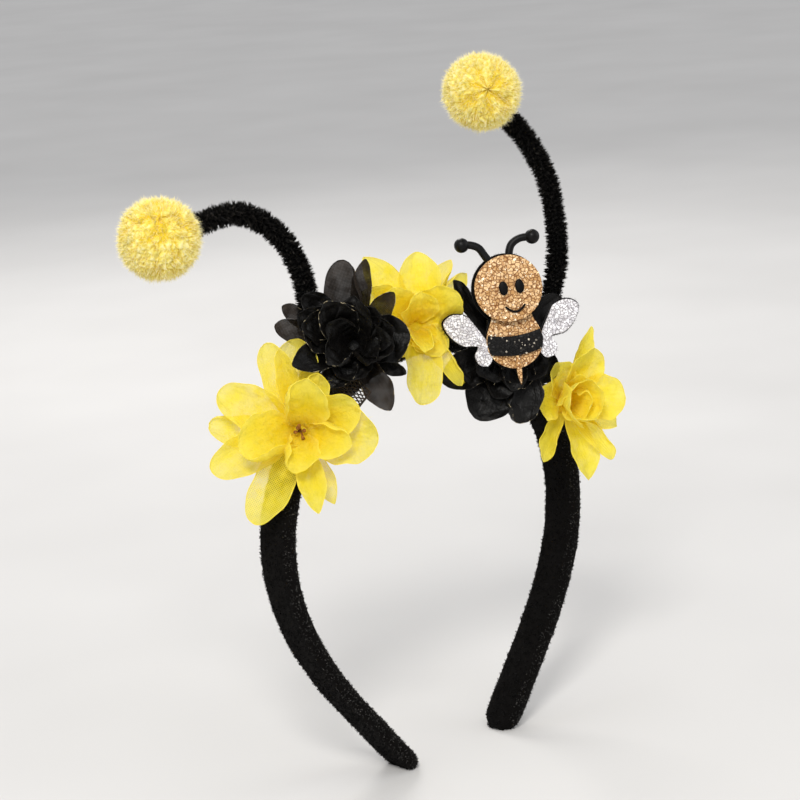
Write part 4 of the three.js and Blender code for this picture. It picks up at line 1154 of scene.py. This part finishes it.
def behind_bee(points):
    """Presses points that would pass through the bee back behind its backing."""
    flat = points.reshape(-1, 3) - np.array(BEE_HEAD_CENTRE)
    x, y, z = flat @ BEE_RIGHT, flat @ BEE_UP, flat @ BEE_FRONT
    places = np.stack([x, y], axis=1)
    covered = np.zeros(len(places), bool)
    distance = np.full(len(places), 1e3)
    for outline in BEE_OUTLINES:
        covered |= inside(places, outline)
        gaps = np.linalg.norm(places[:, None] - outline[None, ::3], axis=2).min(axis=1)
        distance = np.minimum(distance, gaps)
    limit = np.where(covered, -0.5, -0.5 + 2.2 * distance)
    pressed = np.minimum(z, limit)
    near = np.linalg.norm(places, axis=1) < BEE_SURROUNDINGS
    moves = BEE_FRONT * np.where(near, pressed - z, 0)[:, None]
    return points + moves.reshape(points.shape)


def from_band(points, skip=1):
    """How far outwards of the band's middle line points lie, and how far to either side of it."""
    gaps = np.linalg.norm(points[:, None, ::2] - BAND_LINE[None, ::skip, ::2], axis=2)
    nearest = gaps.argmin(axis=1) * skip
    offset = points - BAND_LINE[nearest]
    return (offset * BAND_OUT[nearest]).sum(axis=1), np.abs(offset @ BAND_ACROSS)


def within_opening(points):
    """Whether points lie inside the band's arch, close under its inner face."""
    out, across = from_band(points.reshape(-1, 3), 2)
    return ((out < -0.6) & (out > -25) & (across < BAND_WIDTH / 2 + 2.5)).reshape(points.shape[:-1])


def petal_sheet(flower, petal, seed, cloth_kind):
    """A grid of points over one petal, with a fold along it, crumples and a wavy rim."""
    turn, length, width, root, tip, _ = petal
    rng = np.random.default_rng(seed)
    right, up, front = axes_of(flower["facing"], flower["rise"])
    outward = right * np.cos(radians(turn)) + up * np.sin(radians(turn))
    side = np.cross(front, outward)
    s = np.linspace(0, 1, PETAL_ROWS + 1) ** 0.92 * PETAL_END
    middle = radians(lerp(root, tip, (s[1:] + s[:-1]) / 2))[:, None]
    steps = (np.diff(s) * length)[:, None] * (outward * np.cos(middle) + front * np.sin(middle))
    start = np.array(flower["heart"]) + outward * PETAL_START * np.cos(radians(root))
    start = start + front * root * PETAL_LAYER_RISE
    spine = start + np.vstack([np.zeros(3), np.cumsum(steps, axis=0)])
    lift = radians(lerp(root, tip, s))[:, None]
    normal = unit(np.cross(outward * np.cos(lift) + front * np.sin(lift), side))
    share = petal_share(s, cloth_kind["pointed"] * rng.uniform(0.5, 1) * np.clip((13.5 - width) / 4, 0.1, 1))
    t = np.linspace(-1, 1, PETAL_LANES + 1)
    waves = rng.uniform(0, 2 * math.pi, 6)
    left = 1 + 0.05 * np.sin(9 * s + waves[0]) + 0.03 * np.sin(21 * s + waves[1])
    other = 1 + 0.05 * np.sin(10 * s + waves[2]) + 0.03 * np.sin(19 * s + waves[3])
    reach = width / 2 * share
    flat = np.where(t[None] < 0, left[:, None], other[:, None]) * t[None] * reach[:, None]
    cup = PETAL_CUP * width * share[:, None] * t[None] ** 2
    rim = np.abs(t[None]) ** 2.2 * np.clip(s[:, None] * 1.4, 0, 1)
    slow_wave = np.sin(11 * s[:, None] + waves[4] + 1.3 * t[None])
    ruffles = rim * (slow_wave + 0.5 * np.sin(23 * s[:, None] + waves[5]))
    ridge = rng.uniform(-0.3, 0.3)
    fold = rng.uniform(0.02, 0.11) * width * share[:, None] * np.sqrt((t[None] - ridge) ** 2 + 0.004)
    turned = folded_rim(t[None], s[:, None], rng)
    flat = flat - turned * 1.8 * reach[:, None]
    fold = fold + PETAL_FOLD_LIFT * (1 - np.exp(-np.abs(turned) * reach[:, None] / 0.5))
    sheet = spine[:, None] + side * flat[..., None]
    crumple = wobble(sheet.reshape(-1, 3), 4.5, seed + 1).reshape(sheet.shape[:2])
    crumple += 0.5 * wobble(sheet.reshape(-1, 3), 2.2, seed + 2).reshape(sheet.shape[:2])
    end_curl = np.clip((s[:, None] - 0.8) / 0.2, 0, 1) ** 2 * rng.uniform(-0.9, 1.3)
    creased = 0.48 * crumple * np.clip(0.3 + s[:, None], 0, 1)
    height = cup + cloth_kind["ruffle"] * (0.55 * ruffles + creased + end_curl) + fold
    sheet = sheet + normal[:, None] * height[..., None]
    places = np.stack(np.broadcast_arrays(s[:, None] / PETAL_END, (t[None] + 1) / 2), axis=2)
    cloth = np.stack(np.broadcast_arrays(s[:, None] * length / 10 + waves[0], flat / 10), axis=2)
    return sheet, places, cloth


def folded_rim(t, s, rng):
    """How much of a petal's rim is turned back over it on one side: nothing on most petals."""
    side = rng.choice([-1, 1])
    kept = rng.uniform(0.62, 0.8)
    if rng.uniform() > PETAL_FOLD_SHARE:
        return 0 * (t + s)
    line = lerp(1.0, kept, np.clip(s / 0.35, 0, 1) * np.clip((1.02 - s) / 0.25, 0, 1))
    return side * np.maximum(side * t - line, 0)


def make_flower(name, seed):
    flower = FLOWERS[name]
    colour = name.split("_")[0]
    cloth_kind = CLOTHS[colour]
    rng = np.random.default_rng(seed)
    shape = Shape()
    for number, petal in enumerate(PETALS[name]):
        sheet, places, cloth = petal_sheet(flower, petal, seed + 10 * number, cloth_kind)
        sheet = behind_bee(sheet)
        hidden = within_opening(sheet)
        rows, lanes = sheet.shape[:2]
        quads = grid_faces(rows, lanes)
        kept = quads[~hidden.reshape(-1)[quads].any(axis=1)]
        shape.add(sheet, [kept], places, cloth, petal[5])
        edge = np.vstack([sheet[2:, 0], sheet[-1, 1:-1], sheet[2:, -1][::-1]])
        shown = ~np.concatenate([hidden[2:, 0], hidden[-1, 1:-1], hidden[2:, -1][::-1]])
        if shown.sum() > 8:
            rim = evenly(edge[shown], PETAL_RIM_STATIONS)
            # Black petals' rims are plain black cloth, or beads with painted glints.
            plain = colour == "black" and rng.uniform() > GLINTING_RIM_SHARE
            tube(shape, rim, PETAL_RIM_RADIUS, 5, use=0 if plain else 1)
            add_frays(shape, rim, np.array(flower["heart"]), rng, cloth_kind["frays"])
    add_heart(shape, flower, seed, cloth_kind["swell"])
    materials = [LOOKS[colour], LOOKS[colour + "_rim"], LOOKS[colour + "_sheer"]]
    if any(petal[5] == LACE for petal in PETALS[name]):
        materials.append(LOOKS["yellow_lace"])
    shape.piece("petals_" + name, materials, "flower_" + name)


def add_frays(shape, rim, heart, rng, count):
    """Loose threads at a petal's rim."""
    chosen = rng.integers(4, len(rim) - 4, count)
    roots = rim[chosen]
    ways = unit(unit(roots - heart) + jitter(rng, 0.7, count, 3))
    bends = jitter(rng, 0.35, count, 3)
    fibres(shape, roots, ways, rng.uniform(0.5, 1.4, count), 0.09, bends, rng, use=1, joints=3)


def add_heart(shape, flower, seed, swell):
    """The gathered plug that holds the petals' roots and reaches back to the band."""
    right, up, front = axes_of(flower["facing"], flower["rise"])
    turn = around(48)
    outward = right * np.cos(turn)[:, None] + up * np.sin(turn)[:, None]
    heart = np.array(flower["heart"], float)
    depth = reach_to_band(heart, -front, flower["reach"] - HEART_RADIUS * 0.35)
    rows = []
    for share, level in HEART_RINGS + [(share, -depth * down) for share, down in PLUG_RINGS]:
        pleat = 1 + 0.11 * np.sin(11 * turn + seed) + 0.05 * np.sin(23 * turn + 2 * level)
        radius = np.maximum(HEART_RADIUS * share * pleat, 0.02)[:, None]
        level = level * swell if level > 0 else level
        rows.append(heart + front * level + radius * outward)
    points = np.array(rows)
    count = points.shape[1]
    # The plug takes the deep colour of the petals' roots: painted shade in the flower's middle.
    places = np.zeros((len(rows), count, 2))
    places[..., 0] = 0.04
    places[..., 1] = 0.5
    cloth = np.stack(np.broadcast_arrays(turn[None] * 0.5, np.arange(len(rows))[:, None] * 0.2), axis=2)
    faces = grid_faces(len(rows), count, closed=True)
    shape.add(points, [faces, *end_faces(len(rows), count)], places, cloth)


def reach_to_band(start, way, longest):
    """How far a line runs before it is inside the band, or its whole length."""
    steps = np.arange(0, longest, 0.25)
    out, across = from_band(start + way * steps[:, None])
    met = (np.abs(out) < BAND_THICKNESS / 2) & (across < BAND_WIDTH / 2)
    return float(steps[met.argmax()] + 1.0) if met.any() else float(longest)


def make_stamens():
    rng = np.random.default_rng(71)
    flower = FLOWERS["yellow_left"]
    right, up, front = axes_of(flower["facing"], flower["rise"])
    base = np.array(flower["heart"]) + front * (HEART_RADIUS * 0.35 + 0.4)
    shape = Shape()
    for number in range(STAMEN_COUNT):
        turn = radians(360 / STAMEN_COUNT * number + rng.uniform(-24, 24))
        tilt = radians(STAMEN_SPREAD * rng.uniform(0.3, 0.95))
        way = front * np.cos(tilt) + (right * np.cos(turn) + up * np.sin(turn)) * np.sin(tilt)
        bend = jitter(rng, 0.5, 3)
        share = np.linspace(0, 1, 12)[:, None]
        line = base + way * STAMEN_LENGTH * rng.uniform(0.7, 0.95) * share + bend * share**2
        radius = STAMEN_RADIUS * (1 + 0.9 * np.clip((share[:, 0] - 0.72) / 0.2, 0, 1))
        tube(shape, line, radius, 8)
        ball(shape, line[-1], STAMEN_RADIUS * 2.1, 9, 12, rough=0.12, seed=number)
        roots = line[rng.integers(4, 12, STAMEN_FIBRES)]
        ways = unit(rng.normal(size=(STAMEN_FIBRES, 3)))
        fibres(shape, roots, ways, 0.75, 0.08, ways * 0.05, rng, joints=2)
    shape.piece("stamens", [LOOKS["stamen"]], "flower_stamens")


def clip_to(outline, start, way, longest=60.0):
    """Where a flat line enters and leaves a convex-looking outline."""
    crossings = []
    for a, b in zip(outline, np.roll(outline, -1, axis=0)):
        edge = b - a
        cross = way[0] * edge[1] - way[1] * edge[0]
        if abs(cross) < 1e-9:
            continue
        gap = a - start
        along = (gap[0] * edge[1] - gap[1] * edge[0]) / cross
        share = (gap[0] * way[1] - gap[1] * way[0]) / cross
        if 0 <= share < 1 and abs(along) < longest:
            crossings.append(along)
    return sorted(crossings)


def make_net():
    """A fan of net: two sets of slanting threads inside a corded outline."""
    rng = np.random.default_rng(81)
    flower = FLOWERS["black_left"]
    right, up, front = axes_of(flower["facing"], flower["rise"])
    half = radians(NET_ANGLE / 2)
    outline = np.array(
        [
            (-2, 0),
            (-NET_LENGTH * 0.72 * np.tan(half * 0.9), -NET_LENGTH * 0.62),
            (NET_LENGTH * 0.1, -NET_LENGTH),
            (NET_LENGTH * 0.72 * np.tan(half), -NET_LENGTH * 0.5),
            (2, 0),
        ]
    )

    def lifted(flat):
        wave = 0.7 * np.sin(flat[:, 0] * 0.32) + 0.45 * np.sin(flat[:, 1] * 0.45 + 1)
        lift = (0.4 + wave * 0.6)[:, None]
        return np.array(NET_ROOT) + flat[:, :1] * right + flat[:, 1:] * up + lift * front

    shape = Shape()
    for slope in NET_SLOPES:
        way = np.array([np.cos(radians(slope)), np.sin(radians(slope))])
        aside = np.array([-way[1], way[0]])
        for step in np.arange(-30, 31) * NET_PITCH:
            start = np.array([0, -NET_LENGTH * 0.5]) + aside * (step + rng.normal(scale=0.06))
            ends = clip_to(outline, start, way)
            for a, b in zip(ends[::2], ends[1::2]):
                if b - a > 1:
                    line = start + way * np.linspace(a, b, 22)[:, None]
                    line = line + aside * (0.22 * wobble(line, 3, 82))[:, None]
                    tube(shape, lifted(line), NET_THREAD_RADIUS, 5)
    ring = evenly(np.vstack([outline, outline[:1]]), 90)
    tube(shape, lifted(ring), NET_THREAD_RADIUS * 1.7, 6)
    shape.piece("net_fan", [LOOKS["net"]], "net_petal")


def inset(outline, amount):
    """The outline moved inwards by a small amount."""
    along = unit(np.roll(outline, -1, axis=0) - np.roll(outline, 1, axis=0))
    normal = np.stack([-along[:, 1], along[:, 0]], axis=1)
    return outline + normal * amount * (1 if signed_area(outline) > 0 else -1)


def add_plate(shape, outline, level, thickness, bevel=0.3, dome=0.0):
    """A cut-out of sheet with rounded edges."""
    if signed_area(outline) < 0:
        outline = outline[::-1]
    rows = [(0.12, 0.0), (0.0, 0.12), (0.0, thickness - bevel)]
    for angle in (0.5, 1.0, math.pi / 2):
        rows.append((bevel * (1 - math.cos(angle)), thickness - bevel * (1 - math.sin(angle))))
    if dome:
        rows += [(bevel + dome * k, thickness + dome * 0.35 * math.sqrt(k)) for k in (0.25, 0.5, 0.9)]
    points = []
    for amount, height in rows:
        ring = inset(outline, amount)
        points.append(bee_place(ring[:, 0], ring[:, 1], level + height))
    points = np.array(points)
    count = points.shape[1]
    faces = grid_faces(len(rows), count, closed=True)
    shape.add(points, [faces, *end_faces(len(rows), count)], tone=MIDDLE_TONE)


def add_flakes(shape, outline, level, rng):
    """Flakes of glitter strewn over a plate's top, each lying at its own small tilt."""
    low_corner, high_corner = outline.min(axis=0), outline.max(axis=0)
    wide = high_corner - low_corner
    count = int(wide[0] * wide[1] / FLAKE_SIZE**2 * FLAKE_SHARE)
    spots = low_corner + rng.uniform(size=(count, 2)) * wide
    spots = spots[inside(spots, inset(outline, 0.22))]
    count = len(spots)
    turn = rng.uniform(0, 2 * math.pi, count)
    half = FLAKE_SIZE / 2 * rng.uniform(0.4, 1.1, count)
    tilt = jitter(rng, 0.26, count, 2)
    corners = []
    for k in range(4):
        angle = turn + math.pi / 2 * k + jitter(rng, 0.12, count)
        dx, dy = half * np.cos(angle), half * np.sin(angle)
        lift = level + 0.07 + dx * tilt[:, 0] + dy * tilt[:, 1]
        corners.append(bee_place(spots[:, 0] + dx, spots[:, 1] + dy, lift))
    points = np.stack(corners, axis=1)
    faces = np.arange(count)[:, None] * 4 + np.arange(4)
    tones = np.repeat(rng.uniform(size=count), 4)
    shape.add(points, [faces], tone=np.stack([tones, tones], axis=1), use=1)


def glitter_plate(name, node, outline, level, thickness, kind, seed):
    """A cut-out of glitter foam with flakes on it. The kind names its look, and with _flakes the look of its
    flakes.
    """
    rng = np.random.default_rng(seed)
    shape = Shape()
    add_plate(shape, outline, level, thickness)
    add_flakes(shape, outline, level + thickness, rng)
    shape.piece(name, [LOOKS[kind], LOOKS[kind + "_flakes"]], node)


def body_half(down):
    rows = np.array(BODY_LINE)
    return np.interp(down, rows[:, 0], rows[:, 1])


def stripe_outline():
    t = np.linspace(-1, 1, 25)

    def edge(level):
        return np.stack([t * (body_half(level) - 0.15), -level - STRIPE_SAG * (1 - t * t)], axis=1)

    down = np.linspace(STRIPE_TOP, STRIPE_BOTTOM, 8)[1:-1]
    right = np.stack([body_half(down) - 0.15, -down], axis=1)
    left = np.stack([-right[:, 0], right[:, 1]], axis=1)
    return np.vstack([edge(STRIPE_TOP), right, edge(STRIPE_BOTTOM)[::-1], left[::-1]])


def stinger_outline():
    length = STINGER_TIP - STINGER_TOP
    half = STINGER_WIDTH / 2
    right = [
        (half * 0.5, -STINGER_TOP),
        (half, -STINGER_TOP - length * 0.3),
        (half * 0.75, -STINGER_TIP + length * 0.3),
    ]
    rows = [(0.12, -STINGER_TIP), *right[::-1], *[(-x, y) for x, y in right], (-0.12, -STINGER_TIP)]
    line = np.array(rows)
    return evenly(np.vstack([line, line[:1]]), 61)[:-1]


def make_backing():
    rng = np.random.default_rng(91)
    shape = Shape()
    margin = BEE_BACKING_MARGIN
    outlines = [
        ellipse(0, 0, 2 * (HEAD_RADIUS + margin), 2 * HEAD_RADIUS + 1),
        body_outline(margin),
        wing_outline(-1, margin),
        wing_outline(1, margin),
    ]
    for number, outline in enumerate(outlines):
        add_plate(shape, outline, -0.004 * number, PLATE_THICKNESS, bevel=0.25)
        count = FELT_FIBRES
        spots = outline[rng.integers(0, len(outline), count)] + jitter(rng, 0.25, count, 2)
        away = unit(spots - outline.mean(axis=0))
        roots = bee_place(*(spots - away * 0.3).T, rng.uniform(0.1, PLATE_THICKNESS - 0.1, count))
        ways = away[:, :1] * BEE_RIGHT + away[:, 1:] * BEE_UP + jitter(rng, 0.5, count, 3)
        bends = jitter(rng, 0.08, count, 3)
        fibres(shape, roots, unit(ways), rng.uniform(0.3, 0.75, count), 0.09, bends, rng, joints=1)
    shape.piece("felt_backing", [LOOKS["felt"]], "bee_backing")


def make_face():
    for side, sign in (("left", -1), ("right", 1)):
        shape = Shape()
        outline = ellipse(FACE_SHIFT + sign * EYE_SPACING / 2, 0.2, EYE_WIDTH, EYE_HEIGHT, 48)
        add_plate(shape, outline, LEVELS["face"] - 0.35, 0.85, bevel=0.32, dome=0.45)
        shape.piece("eye_" + side, [LOOKS["ink"]], "bee_eye_" + side)
    t = np.linspace(-1, 1, 30)
    x = FACE_SHIFT * 1.4 + t * SMILE_WIDTH / 2
    y = -SMILE_BELOW - SMILE_DROP * (1 - t * t)
    shape = Shape()
    radius = SMILE_RADIUS * (0.75 + 0.25 * np.sqrt(1 - np.abs(t) ** 3))
    tube(shape, bee_place(x, y, LEVELS["face"] + 0.1), radius, 10)
    shape.piece("smile", [LOOKS["ink"]], "bee_smile")


def make_feelers():
    level = PLATE_THICKNESS + 0.4 + FEELER_RADIUS
    for side, line in FEELERS.items():
        flat = evenly(smooth_line([(x, y, level) for x, y in line]), FEELER_STATIONS)
        shape = Shape()
        points = bee_place(flat[:, 0], flat[:, 1], flat[:, 2])
        share = np.linspace(0, 1, FEELER_STATIONS)
        swell = 1 + 0.35 * np.clip((share - 0.86) / 0.14, 0, 1) ** 2
        tube(shape, points, FEELER_RADIUS * swell, 16)
        ball(shape, points[-1], FEELER_BALL_RADIUS, 22, 30, rough=0.012, seed=5)
        shape.piece("feeler_" + side, [LOOKS["rubber"]], "bee_feeler_" + side)


def make_bee():
    make_backing()
    low, trim, thick = LEVELS["low"], LEVELS["stripe"] - 0.3, PLATE_THICKNESS
    head = ellipse(0, 0, 2 * HEAD_RADIUS, 2 * HEAD_RADIUS * HEAD_HEIGHT_SHARE)
    glitter_plate("glitter_body", "bee_body", body_outline(), low, thick, "gold", 101)
    for side, sign in (("left", -1), ("right", 1)):
        title, node = "glitter_wings_" + side, "bee_wings_" + side
        glitter_plate(title, node, wing_outline(sign), low - 0.1, thick, "silver", 103)
    glitter_plate("glitter_stripe", "bee_stripe", stripe_outline(), trim, TRIM_THICKNESS, "stripe", 105)
    glitter_plate("stinger", "bee_stinger", stinger_outline(), trim, TRIM_THICKNESS, "gold", 107)
    glitter_plate("glitter_head", "bee_head", head, LEVELS["head"], thick, "gold", 109)
    make_face()
    make_feelers()


def make_stage():
    """A wide pale floor with faint unevenness."""
    look = Look("floor", Roughness=0.85, Specular_IOR_Level=0.2)
    stops = [(0.3, (0.58, 0.57, 0.56)), (0.7, (0.62, 0.61, 0.60))]
    look.put("Base Color", look.ramp(look.noise(180, 2), *stops))
    turn = around(96)
    rim = [(FLOOR_RADIUS * math.cos(a), FLOOR_RADIUS * math.sin(a), 0) for a in turn]
    mesh = bpy.data.meshes.new("floor")
    mesh.from_pydata(rim, [], [list(range(len(rim)))])
    mesh.materials.append(look.finish())
    floor = placed("floor", mesh)


def add_light(name, place, power, size, colour):
    light = bpy.data.lights.new(name, "AREA")
    light.energy = power
    light.shape = "DISK"
    light.size = size
    light.color = colour
    thing = placed(name, light)
    thing.location = place
    thing.rotation_euler = (Vector(LIGHT_TARGET) - Vector(place)).to_track_quat("-Z", "Y").to_euler()


def make_light():
    world = bpy.data.worlds.new("studio")
    world.use_nodes = True
    background = world.node_tree.nodes["Background"]
    background.inputs["Color"].default_value = (0.97, 0.98, 1.0, 1)
    background.inputs["Strength"].default_value = 0.75
    bpy.context.scene.world = world
    for name, setting in LIGHTS.items():
        add_light(name, *setting)


def make_camera():
    azimuth, elevation, roll = (radians(a) for a in (CAMERA_AZIMUTH, CAMERA_ELEVATION, CAMERA_ROLL))
    flat = np.array([np.sin(azimuth), -np.cos(azimuth), 0])
    back = flat * np.cos(elevation) + np.array([0, 0, np.sin(elevation)])
    level = np.array([np.cos(azimuth), np.sin(azimuth), 0])
    raised = np.cross(back, level)
    right = level * np.cos(roll) + raised * np.sin(roll)
    up = np.cross(back, right)
    place = (np.array(CAMERA_TARGET) + TABLE_ORIGIN + back * CAMERA_DISTANCE) * MM
    matrix = Matrix.Identity(4)
    for column, vector in enumerate((right, up, back, place)):
        for row in range(3):
            matrix[row][column] = float(vector[row])
    camera = bpy.data.cameras.new("camera")
    camera.lens = CAMERA_LENS
    camera.clip_start = 0.02
    thing = placed("camera", camera)
    thing.matrix_world = matrix
    bpy.context.scene.camera = thing


make_band()
make_stem("left", LEFT_STEM_LINE, 21)
make_stem("right", RIGHT_STEM_LINE, 22)
make_pompom("left", 31)
make_pompom("right", 32)
for order, title in enumerate(FLOWERS):
    make_flower(title, 1000 * (order + 1))
make_stamens()
make_net()
make_bee()
make_stage()
make_light()
make_camera()
bpy.context.scene.view_settings.view_transform = "Standard"
